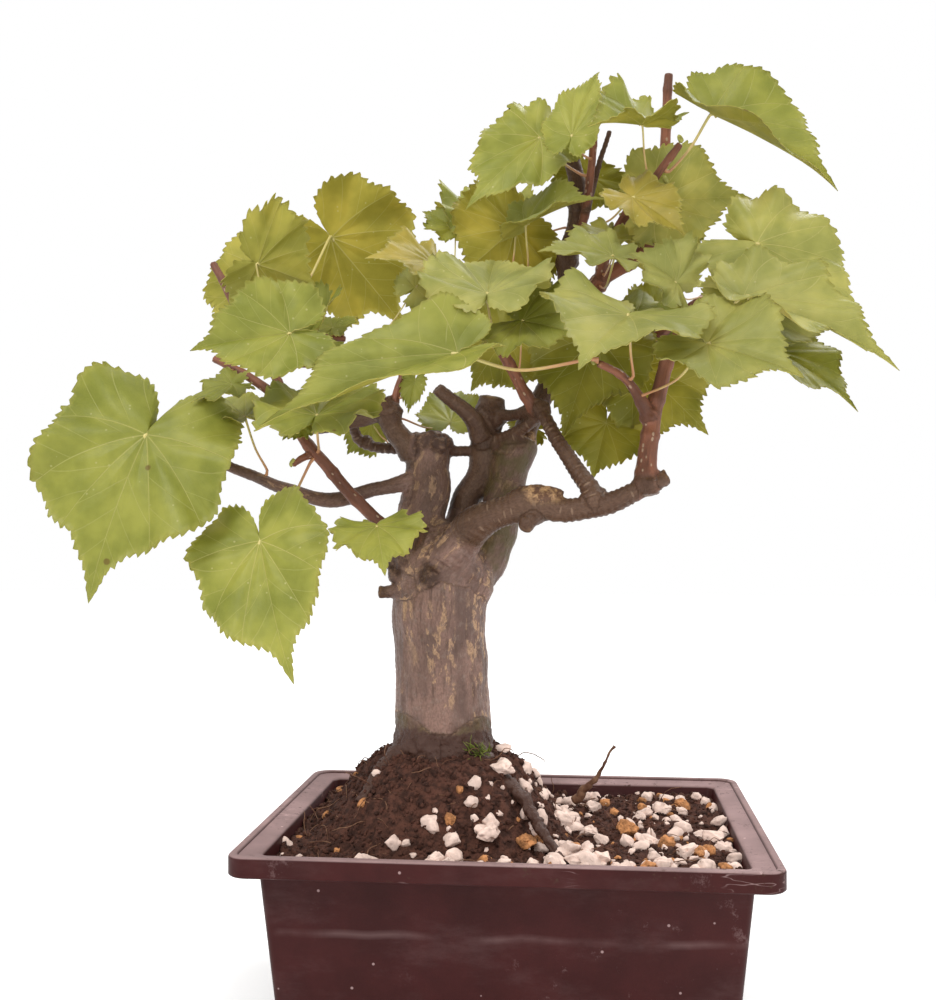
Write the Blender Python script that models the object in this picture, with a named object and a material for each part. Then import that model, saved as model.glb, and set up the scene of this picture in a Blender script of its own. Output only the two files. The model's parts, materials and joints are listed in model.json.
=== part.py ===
"""A young lime tree grown as a bonsai in a rectangular plastic training pot.

Units are metres and +Z is up. The origin is the middle of the pot's flat underside, which is also the
surface that the pot stands on. The tables of the tree are in millimetres from the middle of the
trunk's foot, where it leaves the soil: +X is to the right, +Y is to the back.
"""

import math

import bmesh
import bpy
from mathutils import Matrix, Vector

MM = 0.001

# Pot
RIM_LENGTH = 0.240
RIM_WIDTH = 0.180
POT_HEIGHT = 0.090
CORNER_RADIUS = 0.009
INNER_CORNER = 0.0036
DRAFT = math.radians(5.5)
WALL = 0.0025
FLOOR = 0.0030
RIM_OVERHANG = 0.011
SKIRT_HEIGHT = 0.0090
SKIRT_WALL = 0.0024
LIP_WIDTH = 0.0034
LIP_HEIGHT = 0.0012
RIM_SLOPE = 0.0008
RIM_THICKNESS = 0.0024
EDGE_ROUND = 0.0012
HOLE_RADIUS = 0.0060
HOLE_SPACING_X = 0.060
HOLE_SPACING_Y = 0.070
CORNER_STEPS = 5

# Soil
FIT = 0.0003
SOIL_BELOW_RIM = 0.0080
SOIL_CORNER = 0.0055
MOUND_ABOVE_RIM = 0.0310
MOUND_RADIUS = 0.0640
MOUND_SWELL = 1.4
MOUND_RINGS = 5
MOUND_OFF_WALL = 0.04
RING_OFF_RING = 0.06
SOIL_STEP = 0.022

# Tree
FOOT_X = -0.035
FOOT_Y = 0.0
FOOT_RADIUS = 0.0250
FOOT_DEPTH = 0.0140
SOCKET_CORE = 0.8
TREE_SCALE = 1.0
GIRTH = 1.0
TRUNK_RESOLUTION = 6
THICK_RESOLUTION = 3
THIN_RESOLUTION = 1
THICK_LIMB = 6

# Leaves
LEAF_THICKNESS = 0.0009
STALK_RADIUS = 0.0008
STALK_START = 0.0016
STALK_SAG = 0.06
STALK_MIDDLE = 0.45

# Stones that lie loose on the soil: distance in from the rim's right end and front edge, and size
STONES = (
    ((0.034, 0.036), (0.0130, 0.0100, 0.0090)),
    ((0.058, 0.030), (0.0110, 0.0120, 0.0080)),
    ((0.030, 0.068), (0.0120, 0.0090, 0.0080)),
    ((0.050, 0.118), (0.0120, 0.0110, 0.0090)),
)
STONE_SIDES = 2
STONE_UNEVEN = 0.10

SOIL_LEVEL = POT_HEIGHT - SOIL_BELOW_RIM
FOOT_LEVEL = POT_HEIGHT + MOUND_ABOVE_RIM

# Each limb runs through these points, as x, y, z and radius.
TRUNK = ((0, 0, 25, 23.5), (-1, 0, 50, 23), (-2, 0, 76, 23.5), (-1, 3, 96, 22.5), (3, 6, 112, 15))
LIMBS = {
    "left leader": ((-6, 4, 92, 13), (-9, 4, 112, 12.5), (-9, 4, 132, 12), (-7, 6, 158, 8.5)),
    "middle leader": ((2, 12, 96, 8.5), (8, 15, 118, 7.5), (17, 15, 140, 8), (24, 12, 178, 6.5)),
    "right leader": ((14, 8, 84, 11.5), (24, 8, 106, 10.5), (32, 8, 130, 9.5), (38, 9, 155, 10)),
    "front limb": (
        (4, -14, 96, 11),
        (16, -24, 112, 9.5),
        (32, -30, 119, 7),
        (48, -34, 122, 6.5),
        (64, -36, 119, 5.5),
        (84, -38, 123, 5),
        (109, -38, 135, 4),
    ),
    "front rise": ((76, -37, 122, 4), (72, -33, 132, 4), (57, -20, 154, 3.5), (47, -12, 173, 3)),
    "right upright": ((99, -38, 129, 4.5), (102, -37, 161, 4), (106, -36, 178, 3.5), (117, -34, 208, 2.5)),
    "right fork": ((101, -37, 163, 3), (90, -46, 179, 2), (77, -53, 186, 1.8)),
    "low limb": ((-14, 0, 135, 3.8), (-34, -4, 131, 3.5), (-60, -12, 125, 3.5), (-115, -26, 146, 2)),
    "long twig": ((-16, -13, 86, 3.2), (-54, -28, 141, 3), (-80, -26, 176, 2.5), (-112, -20, 195, 1.8)),
    "slim twig": ((-70, -27, 162, 2.5), (-77, -20, 178, 2.2), (-98, -6, 209, 2.2), (-121, 6, 248, 2)),
    "shaggy limb": ((-28, -3, 169, 4), (-40, 0, 167, 3.8), (-60, -4, 162, 3.5), (-74, -18, 160, 2.8)),
    "ringed limb": ((-11, 10, 151, 2.8), (-42, 14, 154, 2.8), (-48, 6, 164, 2.5)),
    "side limb": ((-16, 2, 146, 6), (-26, -2, 164, 5.5), (-31, -4, 175, 5)),
    "inner twig": ((19, 8, 156, 4.3), (13, 1, 168, 4), (-2, -8, 180, 3.2)),
    "cross twig": ((-4, 7, 150, 2.5), (15, 13, 150, 2.5)),
    "upper cross": ((24, 10, 169, 2.8), (35, 2, 168, 2.8), (47, -11, 170, 2.8)),
    "lower cross": ((25, 10, 154, 3), (39, 0, 160, 3), (51, -12, 168, 2.6)),
    "centre twig": ((47, -11, 169, 2.8), (32, -18, 194, 2.8), (23, -24, 209, 2.6), (12, -28, 220, 2.4)),
    "green twig": ((-26, -3, 166, 2.2), (-21, 2, 188, 2), (-10, 6, 208, 1.8), (2, 8, 228, 1.8)),
    "left shoot": ((-87, -12, 193, 1.7), (-67, -6, 193, 1.6), (-42, -2, 192, 1.5), (-23, 0, 190, 1.4)),
    "left spur": ((-97, -6, 207, 1.7), (-72, -4, 208, 1.7), (-49, -4, 206, 1.5)),
    "bud spur": ((-97, -6, 207, 1.7), (-82, -6, 218, 1.9)),
    "upper limb": (
        (36, 9, 146, 7),
        (45, 20, 170, 5.8),
        (56, 28, 197, 5.2),
        (62, 30, 226, 5),
        (62, 24, 250, 4.8),
        (68, 18, 280, 4.5),
        (63, 16, 306, 4),
    ),
    "crown limb": (
        (61, 29, 220, 4),
        (78, 26, 238, 3.8),
        (110, 18, 259, 3.8),
        (117, 22, 270, 3),
        (113, 24, 302, 2.8),
        (114, 18, 343, 2.2),
    ),
    "bud twig": ((79, 26, 238, 3), (85, 8, 257, 2.5), (97, -6, 272, 2.2), (117, -16, 296, 1.8)),
    "straight twig": ((62, 24, 250, 2.6), (69, 16, 262, 2.4), (74, 4, 291, 2), (77, 0, 317, 1.8)),
    "dead twig": ((72, 11, 272, 1.8), (78, 10, 293, 1.5), (84, 10, 312, 1.4)),
    "right twig": (
        (59, 29, 210, 3.2),
        (81, 18, 205, 2.8),
        (104, 6, 205, 2.6),
        (127, -2, 222, 2.3),
        (144, 2, 230, 2),
        (166, 8, 241, 1.8),
    ),
    "crown shoot": ((62, 30, 231, 2.4), (51, 22, 231, 2), (29, 10, 234, 1.5)),
}

# Half of a blade's outline, from the tip round to the notch at the stalk: the angle off the midrib
# in degrees and the reach from the stalk as a share of the blade's length.
OUTLINE = ((0, 1.0), (15, 0.76), (42, 0.64), (74, 0.60), (108, 0.54), (140, 0.47), (163, 0.36))
WIDEST = 0.577
INNER_RING = 0.5

# name, limb and share of its length where the stalk grows, blade base, blade tip, blade width, the way
# that the upper surface faces, fold along the midrib and droop from base to tip in degrees
LEAVES = (
    ("far_left", "low limb", 1.0, (-135, -50, 155), (-157, -70, 80), 90, (0.1, -1, 0.25), 10, 20),
    ("low_hanging", "long twig", 0.48, (-80, -50, 105), (-60, -70, 42), 62, (-0.15, -1, 0.3), 8, 20),
    ("trunk_side", "long twig", 0.15, (-23, -60, 112), (-15, -88, 95), 40, (0, -0.6, 0.8), 10, 15),
    ("speckled", "left spur", 0.5, (-66, -50, 202), (-110, -62, 193), 50, (-0.1, -1, 0.3), 12, 12),
    ("left_back", "bud spur", 0.3, (-98, 18, 245), (-124, 8, 203), 48, (0, 1, 0.3), 8, 20),
    ("left_upper", "bud spur", 0.8, (-87, -30, 239), (-61, -18, 230), 60, (0.1, 0.8, 0.5), 12, 15),
    ("broad_back", "bud spur", 1.0, (-66, 40, 268), (-28, 55, 221), 78, (0.1, 1, 0.2), 10, 15),
    ("yellowing", "green twig", 0.72, (-5, 2, 244), (-34, -22, 246), 42, (0, -0.7, 0.7), 15, 15),
    ("pale_small", "left shoot", 0.63, (-16, 15, 235), (1, 25, 248), 24, (0.2, -0.8, 0.4), 10, 10),
    ("left_under", "long twig", 0.91, (-98, -36, 180), (-116, -44, 172), 24, (0, -0.6, 0.8), 10, 10),
    ("left_flat", "low limb", 0.72, (-95, -24, 165), (-120, 18, 179), 34, (0, -0.3, 0.95), 10, 10),
    ("long_pale", "right fork", 1.0, (14, -62, 190), (-73, -78, 157), 50, (-0.1, -0.75, 0.65), 28, 12),
    ("left_shelf", "long twig", 0.49, (-52, -55, 163), (-46, -5, 185), 58, (0, -0.45, 0.9), 12, 10),
    ("left_tuft", "long twig", 0.6, (-62, -46, 161), (-69, -52, 153), 16, (0, -1, 0.3), 10, 10),
    ("ring_side", "ringed limb", 0.45, (-42, 30, 165), (-57, 34, 150), 26, (0, -1, 0.3), 10, 10),
    ("behind_leader", "side limb", 0.6, (1, 26, 166), (3, 60, 186), 34, (0, -0.6, 0.8), 10, 10),
    ("crook_small", "green twig", 0.16, (-14, -2, 184), (-17, -6, 168), 12, (0, -1, 0.2), 20, 10),
    ("spur_tip", "left spur", 0.96, (-56, -2, 212), (-47, 14, 222), 16, (0, -0.6, 0.7), 10, 10),
    ("spur_folded", "left spur", 0.7, (-57, -14, 220), (-67, -22, 199), 26, (-0.3, -0.9, 0.2), 45, 10),
    ("spur_back", "left spur", 0.73, (-67, 30, 208), (-86, 38, 224), 20, (0, -0.9, 0.4), 10, 10),
    ("shoot_small", "left shoot", 0.47, (-60, 3, 196), (-74, 6, 201), 12, (0, -0.9, 0.3), 10, 10),
    ("top_winged", "upper limb", 0.75, (17, 56, 278), (23, 92, 304), 60, (0, -0.5, 0.85), 35, 10),
    ("crown_shade", "crown shoot", 0.88, (35, 20, 266), (8, 10, 240), 62, (0.2, 0.9, 0.3), 10, 15),
    ("crown_curl", "crown shoot", 0.65, (42, 2, 263), (79, -12, 276), 34, (-0.1, -0.6, 0.8), 38, 10),
    ("crown_dark", "upper limb", 0.86, (75, 36, 296), (70, 42, 277), 36, (0, -0.9, 0.2), 10, 10),
    ("crown_right", "crown limb", 0.29, (107, 9, 275), (154, 5, 274), 52, (0, -1, 0.15), 8, 15),
    ("crown_yellow", "straight twig", 0.27, (94, -22, 269), (119, -34, 247), 32, (0.2, -0.9, 0.5), 15, 15),
    ("right_tip", "right twig", 0.85, (152, -24, 245), (201, -30, 212), 60, (0.1, -0.95, 0.35), 12, 20),
    ("high_right", "bud twig", 0.84, (132, -18, 312), (192, -26, 273), 66, (0.35, -0.75, 0.6), 40, 15),
    ("apex_left", "straight twig", 0.71, (65, -20, 300), (78, -6, 338), 28, (-0.3, -0.9, -0.2), 15, 10),
    ("apex", "bud twig", 0.76, (98, -24, 303), (73, -40, 300), 48, (0, -0.6, 0.8), 32, 10),
    ("high_left", "straight twig", 0.6, (49, 0, 306), (13, -14, 270), 46, (-0.1, -1, 0.2), 12, 15),
    ("centre_flat", "centre twig", 0.71, (26, -44, 220), (27, -6, 246), 60, (0, -0.5, 0.85), 18, 10),
    ("centre_low", "centre twig", 0.34, (42, -38, 208), (71, -52, 199), 50, (0, -0.8, 0.55), 12, 10),
    ("front", "right fork", 0.56, (90, -72, 204), (69, -112, 180), 70, (0.05, -0.6, 0.75), 14, 15),
    ("mid_dark", "bud twig", 0.1, (86, -12, 252), (62, -18, 255), 28, (0, -0.5, 0.85), 10, 10),
    ("mid_pale", "bud twig", 0.02, (84, -40, 237), (50, -50, 239), 36, (0, -0.6, 0.8), 12, 12),
    ("mid_under", "right twig", 0.58, (95, -30, 212), (72, -8, 226), 40, (0, -0.5, 0.85), 12, 10),
    ("mid_back", "right twig", 0.5, (106, 42, 226), (119, 50, 240), 28, (0, -1, 0.2), 10, 10),
    ("right_folded", "right twig", 0.66, (112, -52, 222), (94, -60, 236), 40, (0.3, -0.85, 0.4), 30, 10),
    ("right_back", "crown limb", 0.4, (115, 36, 260), (134, 44, 247), 36, (0.1, -0.9, 0.4), 12, 10),
    ("right_shelf", "right twig", 0.74, (143, -20, 214), (198, -8, 207), 44, (0, -0.9, 0.4), 12, 15),
    ("right_long", "right twig", 0.42, (142, -52, 215), (205, -72, 181), 48, (0.2, -0.7, 0.7), 32, 15),
    ("right_front", "right fork", 0.31, (123, -80, 190), (160, -100, 172), 50, (0.15, -0.85, 0.5), 12, 15),
    ("right_drip", "right twig", 0.8, (164, -8, 196), (194, -42, 166), 36, (0.3, -0.9, 0.3), 20, 15),
    ("big_dark", "right twig", 0.11, (77, 0, 206), (60, -10, 154), 58, (0, -1, 0.1), 8, 12),
    ("big_dark_right", "right twig", 0.29, (99, 30, 194), (134, 22, 160), 56, (0.1, -1, 0.1), 8, 12),
    ("low_back", "upper limb", 0.31, (82, 26, 165), (75, 20, 136), 44, (0, -1, 0.1), 10, 12),
    ("right_under", "right twig", 0.5, (123, 18, 202), (99, 24, 208), 24, (0, -0.6, 0.8), 10, 10),
    ("centre_back", "centre twig", 0.43, (31, 24, 211), (10, 30, 183), 50, (0, -1, 0.2), 10, 12),
    ("young", "centre twig", 0.95, (14, -38, 214), (12, -44, 195), 12, (0, -1, 0.2), 40, 10),
    ("crook_back", "upper limb", 0.13, (45, 36, 163), (29, 40, 167), 22, (0, -0.9, 0.4), 10, 10),
    ("left_crown", "green twig", 1.0, (-1, 60, 277), (-20, 68, 288), 24, (0, -0.8, 0.5), 10, 10),
)


def clear_scene():
    for obj in list(bpy.data.objects):
        bpy.data.objects.remove(obj, do_unlink=True)


def finish(obj, colour, roughness):
    """Gives the object its own material, and shades it smooth between its sharp edges."""
    material = bpy.data.materials.new(obj.name)
    material.use_nodes = True
    surface = material.node_tree.nodes["Principled BSDF"]
    surface.inputs["Base Color"].default_value = (*colour, 1.0)
    surface.inputs["Roughness"].default_value = roughness
    surface.inputs["Metallic"].default_value = 0.0
    obj.data.materials.clear()
    obj.data.materials.append(material)
    obj.data.shade_smooth()
    obj.data.set_sharp_from_angle(angle=math.radians(40))


def add_object(name, mesh):
    obj = bpy.data.objects.new(name, mesh)
    bpy.context.scene.collection.objects.link(obj)
    return obj


def mesh_from(bm, name):
    """Turns the bmesh into an object whose faces point out."""
    bmesh.ops.recalc_face_normals(bm, faces=bm.faces[:])
    mesh = bpy.data.meshes.new(name)
    bm.to_mesh(mesh)
    bm.free()
    return add_object(name, mesh)


def make_cutter(obj):
    obj.hide_render = True
    obj.display_type = "WIRE"


def rounded_rectangle(half_length, half_width, radius):
    """Points of a rectangle with round corners, anticlockwise from the right end."""
    points = []
    for quarter, (sx, sy) in enumerate(((1, 1), (-1, 1), (-1, -1), (1, -1))):
        centre = Vector((sx * (half_length - radius), sy * (half_width - radius)))
        for step in range(CORNER_STEPS + 1):
            angle = math.radians(90 * (quarter + step / CORNER_STEPS))
            points.append(centre + radius * Vector((math.cos(angle), math.sin(angle))))
    return points


def loft(bm, rings):
    """Bridges each ring of points to the next, and returns the rings of vertices."""
    made = [[bm.verts.new(point) for point in ring] for ring in rings]
    for low, high in zip(made, made[1:]):
        for i in range(len(low)):
            j = (i + 1) % len(low)
            bm.faces.new((low[i], low[j], high[j], high[i]))
    return made


def pot_ring(inset, z):
    """One ring of the pot, set in from the rim's outer face by inset."""
    radius = max(CORNER_RADIUS - inset / 2, INNER_CORNER)
    outline = rounded_rectangle(RIM_LENGTH / 2 - inset, RIM_WIDTH / 2 - inset, radius)
    return [(point.x, point.y, z) for point in outline]


def wall_inset(z):
    """How far the outside of the wall lies in from the rim's outer face at height z."""
    return RIM_OVERHANG + (POT_HEIGHT - z) * math.tan(DRAFT)


def cavity_inset(z):
    return wall_inset(z) + WALL


def build_pot():
    lip_top = POT_HEIGHT
    flange_top = lip_top - LIP_HEIGHT
    flange_edge = flange_top - RIM_SLOPE
    flange_under = flange_edge - RIM_THICKNESS
    skirt_bottom = lip_top - SKIRT_HEIGHT
    section = (
        (wall_inset(0) + EDGE_ROUND, 0),
        (wall_inset(EDGE_ROUND), EDGE_ROUND),
        (wall_inset(flange_under), flange_under),
        (SKIRT_WALL, flange_under),
        (SKIRT_WALL, skirt_bottom),
        (0, skirt_bottom),
        (0, lip_top - EDGE_ROUND),
        (EDGE_ROUND * 0.3, lip_top - EDGE_ROUND * 0.3),
        (EDGE_ROUND, lip_top),
        (LIP_WIDTH, lip_top),
        (LIP_WIDTH + EDGE_ROUND / 2, flange_top),
        (cavity_inset(flange_edge) - EDGE_ROUND, flange_edge),
        (cavity_inset(flange_edge - EDGE_ROUND), flange_edge - EDGE_ROUND),
        (cavity_inset(FLOOR), FLOOR),
    )
    bm = bmesh.new()
    rings = loft(bm, [pot_ring(inset, z) for inset, z in section])
    bm.faces.new(reversed(rings[0]))
    bm.faces.new(rings[-1])
    pot = mesh_from(bm, "pot")
    for i in (-1, 0, 1):
        for j in (-0.5, 0.5):
            bpy.ops.mesh.primitive_cylinder_add(
                vertices=16,
                radius=HOLE_RADIUS,
                depth=FLOOR * 3,
                location=(i * HOLE_SPACING_X, j * HOLE_SPACING_Y, FLOOR / 2),
            )
            drain = bpy.context.object
            drain.name = "drain_hole"
            make_cutter(drain)
            cut = pot.modifiers.new("drain", "BOOLEAN")
            cut.operation = "DIFFERENCE"
            cut.solver = "EXACT"
            cut.object = drain
    finish(pot, (0.075, 0.036, 0.030), 0.62)


def mound_height(distance):
    """Height of the soil at this distance from the middle of the trunk's foot."""
    share = (MOUND_RADIUS - distance) / (MOUND_RADIUS - FOOT_RADIUS * GIRTH)
    share = min(max(share, 0.0), 1.0)
    return SOIL_LEVEL + (FOOT_LEVEL - SOIL_LEVEL) * math.sin(share * math.pi / 2) ** MOUND_SWELL


def soil_outline(inset, z):
    """The cavity's outline at this inset, with its long and short sides divided."""
    corners = rounded_rectangle(RIM_LENGTH / 2 - inset, RIM_WIDTH / 2 - inset, SOIL_CORNER)
    points = []
    for number, (here, ahead) in enumerate(zip(corners, corners[1:] + corners[:1])):
        parts = 1
        if number % (CORNER_STEPS + 1) == CORNER_STEPS:
            side = RIM_WIDTH if number // (CORNER_STEPS + 1) % 2 else RIM_LENGTH
            parts = round(side / SOIL_STEP)
        points += [here.lerp(ahead, i / parts) for i in range(parts)]
    return [(point.x, point.y, z) for point in points]


def build_soil():
    """The root ball: it fills the pot, rises to the trunk and has a socket for the trunk's foot."""
    foot = Vector((FOOT_X, FOOT_Y))
    bottom = FLOOR + FIT
    top = soil_outline(cavity_inset(SOIL_LEVEL) + FIT, SOIL_LEVEL)
    rings = [soil_outline(cavity_inset(bottom) + FIT, bottom), top]
    core = FOOT_RADIUS * GIRTH * SOCKET_CORE
    for index in range(MOUND_RINGS + 1):
        radius = MOUND_RADIUS + (core - MOUND_RADIUS) * index / MOUND_RINGS
        ring = []
        for x, y, _ in top:
            spoke = Vector((x, y)) - foot
            reach = min(radius, spoke.length * (1 - MOUND_OFF_WALL - RING_OFF_RING * index))
            spot = foot + spoke.normalized() * reach
            ring.append((spot.x, spot.y, mound_height(reach)))
        rings.append(ring)
    bm = bmesh.new()
    made = loft(bm, rings)
    bm.faces.new(reversed(made[0]))
    bm.faces.new(made[-1])
    soil = mesh_from(bm, "soil")
    sides = 4 + 2 * TRUNK_RESOLUTION
    bpy.ops.mesh.primitive_cylinder_add(
        vertices=sides,
        radius=(FOOT_RADIUS * GIRTH + FIT) / math.cos(math.pi / sides),
        depth=FOOT_DEPTH + FIT + MOUND_ABOVE_RIM,
        location=(FOOT_X, FOOT_Y, FOOT_LEVEL + (MOUND_ABOVE_RIM - FOOT_DEPTH - FIT) / 2),
    )
    socket = bpy.context.object
    socket.name = "foot_socket"
    make_cutter(socket)
    cut = soil.modifiers.new("socket", "BOOLEAN")
    cut.operation = "DIFFERENCE"
    cut.solver = "EXACT"
    cut.object = socket
    finish(soil, (0.060, 0.036, 0.022), 0.95)


def build_stone(index, place, size):
    """A rounded stone that lies on the level soil."""
    bpy.ops.mesh.primitive_ico_sphere_add(subdivisions=STONE_SIDES, radius=0.5)
    stone = bpy.context.object
    stone.name = f"pumice_stone_{index + 1}"
    for vertex in stone.data.vertices:
        x, y, z = vertex.co
        uneven = 1 + STONE_UNEVEN * math.sin(9 * x + 3 * index) * math.cos(7 * y + z)
        vertex.co = Vector((x * size[0], y * size[1], z * size[2])) * uneven
    lowest = min(vertex.co.z for vertex in stone.data.vertices)
    stone.location = (RIM_LENGTH / 2 - place[0], place[1] - RIM_WIDTH / 2, SOIL_LEVEL + FIT - lowest)
    finish(stone, (0.62, 0.53, 0.44), 0.9)


def in_tree(point):
    """A point of the tree's tables, placed in the pot."""
    return Vector((FOOT_X, FOOT_Y, FOOT_LEVEL)) + Vector(point) * MM * TREE_SCALE


def tube(name, points, resolution):
    """A tapered limb: a curve with a round bevel and filled ends, turned into a mesh."""
    curve = bpy.data.curves.new(name, "CURVE")
    curve.dimensions = "3D"
    curve.bevel_depth = 1.0
    curve.bevel_resolution = resolution
    curve.use_fill_caps = True
    spline = curve.splines.new("POLY")
    spline.points.add(len(points) - 1)
    for spot, (place, radius) in zip(spline.points, points):
        spot.co = (*place, 1.0)
        spot.radius = radius
    guide = bpy.data.objects.new(name, curve)
    mesh = bpy.data.meshes.new_from_object(guide)
    bpy.data.objects.remove(guide)
    bm = bmesh.new()
    bm.from_mesh(mesh)
    bmesh.ops.remove_doubles(bm, verts=bm.verts[:], dist=MM * 0.01)
    bmesh.ops.recalc_face_normals(bm, faces=bm.faces[:])
    bm.to_mesh(mesh)
    bm.free()
    return add_object(name, mesh)


def limb_radius(value):
    return value * MM * GIRTH


def build_wood():
    """The trunk with every limb and twig joined to it, as they grew."""
    foot = in_tree((0, 0, 0))
    points = [
        (foot - Vector((0, 0, FOOT_DEPTH)), FOOT_RADIUS * GIRTH),
        (foot + Vector((0, 0, FIT)), FOOT_RADIUS * GIRTH),
    ]
    points += [(in_tree(row[:3]), limb_radius(row[3])) for row in TRUNK]
    wood = tube("trunk_and_branches", points, TRUNK_RESOLUTION)
    limbs = bpy.data.collections.new("limbs")
    bpy.context.scene.collection.children.link(limbs)
    for name, rows in LIMBS.items():
        points = [(in_tree(row[:3]), limb_radius(row[3])) for row in rows]
        resolution = THICK_RESOLUTION if rows[0][3] > THICK_LIMB else THIN_RESOLUTION
        limb = tube(name.replace(" ", "_"), points, resolution)
        bpy.context.scene.collection.objects.unlink(limb)
        limbs.objects.link(limb)
        make_cutter(limb)
    for limb in limbs.objects:
        grow = wood.modifiers.new(limb.name, "BOOLEAN")
        grow.operation = "UNION"
        grow.solver = "EXACT"
        grow.object = limb
    finish(wood, (0.17, 0.12, 0.085), 0.85)


def along_limb(name, share):
    """Axis point, tangent and radius at this share of the limb's length."""
    rows = LIMBS[name]
    spots = [in_tree(row[:3]) for row in rows]
    lengths = [(b - a).length for a, b in zip(spots, spots[1:])]
    left = share * sum(lengths)
    for i, length in enumerate(lengths):
        if left <= length or i == len(lengths) - 1:
            part = min(left / length, 1.0)
            radius = rows[i][3] + (rows[i + 1][3] - rows[i][3]) * part
            tangent = (spots[i + 1] - spots[i]).normalized()
            return spots[i].lerp(spots[i + 1], part), tangent, limb_radius(radius)
        left -= length


def stalk_route(limb, share, base, back, under):
    """Middle points of the stalk, from just behind the blade to its end beside the limb."""
    axis, tangent, radius = along_limb(limb, share)
    away = tangent
    if share < 1.0:
        away = base - axis
        away = (away - tangent * away.dot(tangent)).normalized()
    end = axis + away * (radius + FIT)
    root = end + away * STALK_START
    start = base + (back + under) * STALK_START
    sag = (under + Vector((0, 0, -1))) * (root - start).length * STALK_SAG
    return [start, start.lerp(root, STALK_MIDDLE) + sag, root, end]


def blade_point(x, y, fold, curl):
    """Puts a point of the flat blade on the folded and drooping one, whose chord lies along Y."""
    bend = curl * y
    rise = abs(x) * math.sin(fold)
    along = math.sin(bend) / curl + rise * math.sin(bend)
    return Vector((x * math.cos(fold), along, (math.cos(bend) - 1) / curl + rise * math.cos(bend)))


def blade_sheet(bm, length, width, fold, droop):
    """The blade as one sheet. Returns the two vertices where the stalk joins it."""
    curl = droop / length
    side = [(math.radians(a), r) for a, r in OUTLINE]
    sweep = [(-a, r) for a, r in reversed(side[1:])] + side

    def spot(x, y):
        return bm.verts.new(Matrix.Rotation(droop / 2, 3, "X") @ blade_point(x, y, fold, curl))

    left, right = spot(-STALK_RADIUS, 0), spot(STALK_RADIUS, 0)
    rings = []
    for share in (INNER_RING, 1.0):
        ring = []
        for angle, reach in sweep:
            x = share * reach * math.sin(angle) * width / (2 * WIDEST)
            y = share * reach * math.cos(angle) * (length if math.cos(angle) > 0 else min(length, width))
            ring.append(spot(x, y))
        rings.append(ring)
    inner, outer = rings
    middle = len(inner) // 2
    for i in range(len(inner) - 1):
        hub = left if i < middle else right
        bm.faces.new((hub, inner[i], inner[i + 1]))
        bm.faces.new((inner[i], outer[i], outer[i + 1], inner[i + 1]))
    bm.faces.new((left, inner[middle], right))
    return left, right


def grow_stalk(bm, seat, base, across, ahead, upper, route):
    """Draws the blade's narrow end face out along the route."""
    corners = [vertex.co - base for vertex in seat.verts]
    level = sum(corner.dot(upper) for corner in corners) / len(corners)
    sides = [math.copysign(STALK_RADIUS, corner.dot(across)) for corner in corners]
    heights = [math.copysign(STALK_RADIUS, corner.dot(upper) - level) for corner in corners]
    sideways, lift, heading = across.copy(), upper.copy(), -ahead
    before = base
    for centre, after in zip(route, route[1:] + route[-1:]):
        run = (after - before).normalized()
        bend = heading.rotation_difference(run)
        sideways.rotate(bend)
        lift.rotate(bend)
        heading = run
        seat = bmesh.ops.extrude_discrete_faces(bm, faces=[seat])["faces"][0]
        for vertex, side, height in zip(seat.verts, sides, heights):
            vertex.co = centre + sideways * side + lift * height
        before = centre


def build_leaf(index, row):
    """A heart-shaped blade and its stalk, in one piece."""
    name, limb, share, base, tip, width, faces, fold, droop = row
    base, tip = in_tree(base), in_tree(tip)
    droop = math.radians(droop)
    length = (tip - base).length * (droop / 2) / math.sin(droop / 2)
    ahead = (tip - base).normalized()
    upper = Vector(faces)
    upper = (upper - ahead * upper.dot(ahead)).normalized()
    across = ahead.cross(upper)
    turn = Matrix((across, ahead, upper)).transposed()

    bm = bmesh.new()
    left, right = blade_sheet(bm, length, width * MM * TREE_SCALE, math.radians(fold), droop)
    bmesh.ops.transform(bm, matrix=Matrix.Translation(base) @ turn.to_4x4(), verts=bm.verts[:])
    bmesh.ops.recalc_face_normals(bm, faces=bm.faces[:])
    bmesh.ops.solidify(bm, geom=bm.faces[:], thickness=LEAF_THICKNESS)
    seat = next(f for f in left.link_faces if right in f.verts and len(f.verts) == 4)
    route = stalk_route(limb, share, base, -ahead, -upper)
    grow_stalk(bm, seat, base, across, ahead, upper, route)
    leaf = mesh_from(bm, f"leaf_{index + 1:02d}_{name}")
    tone = (index * 5) % 7 / 7
    finish(leaf, (0.20 + 0.16 * tone, 0.27 + 0.10 * tone, 0.035 + 0.03 * tone), 0.55)


def main():
    clear_scene()
    build_pot()
    build_soil()
    for index, (place, size) in enumerate(STONES):
        build_stone(index, place, size)
    build_wood()
    for index, row in enumerate(LEAVES):
        build_leaf(index, row)


main()
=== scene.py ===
"""The looks of a bonsai lime tree in its training pot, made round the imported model.

Units are metres and +Z is up. The tables of the tree are in millimetres from the middle of the trunk's
foot, where it leaves the soil: +X is to the right, +Y is to the back.
"""

import json
import math
import random

import bmesh
import bpy
import numpy as np
from mathutils import Matrix, Vector, kdtree, noise

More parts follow.
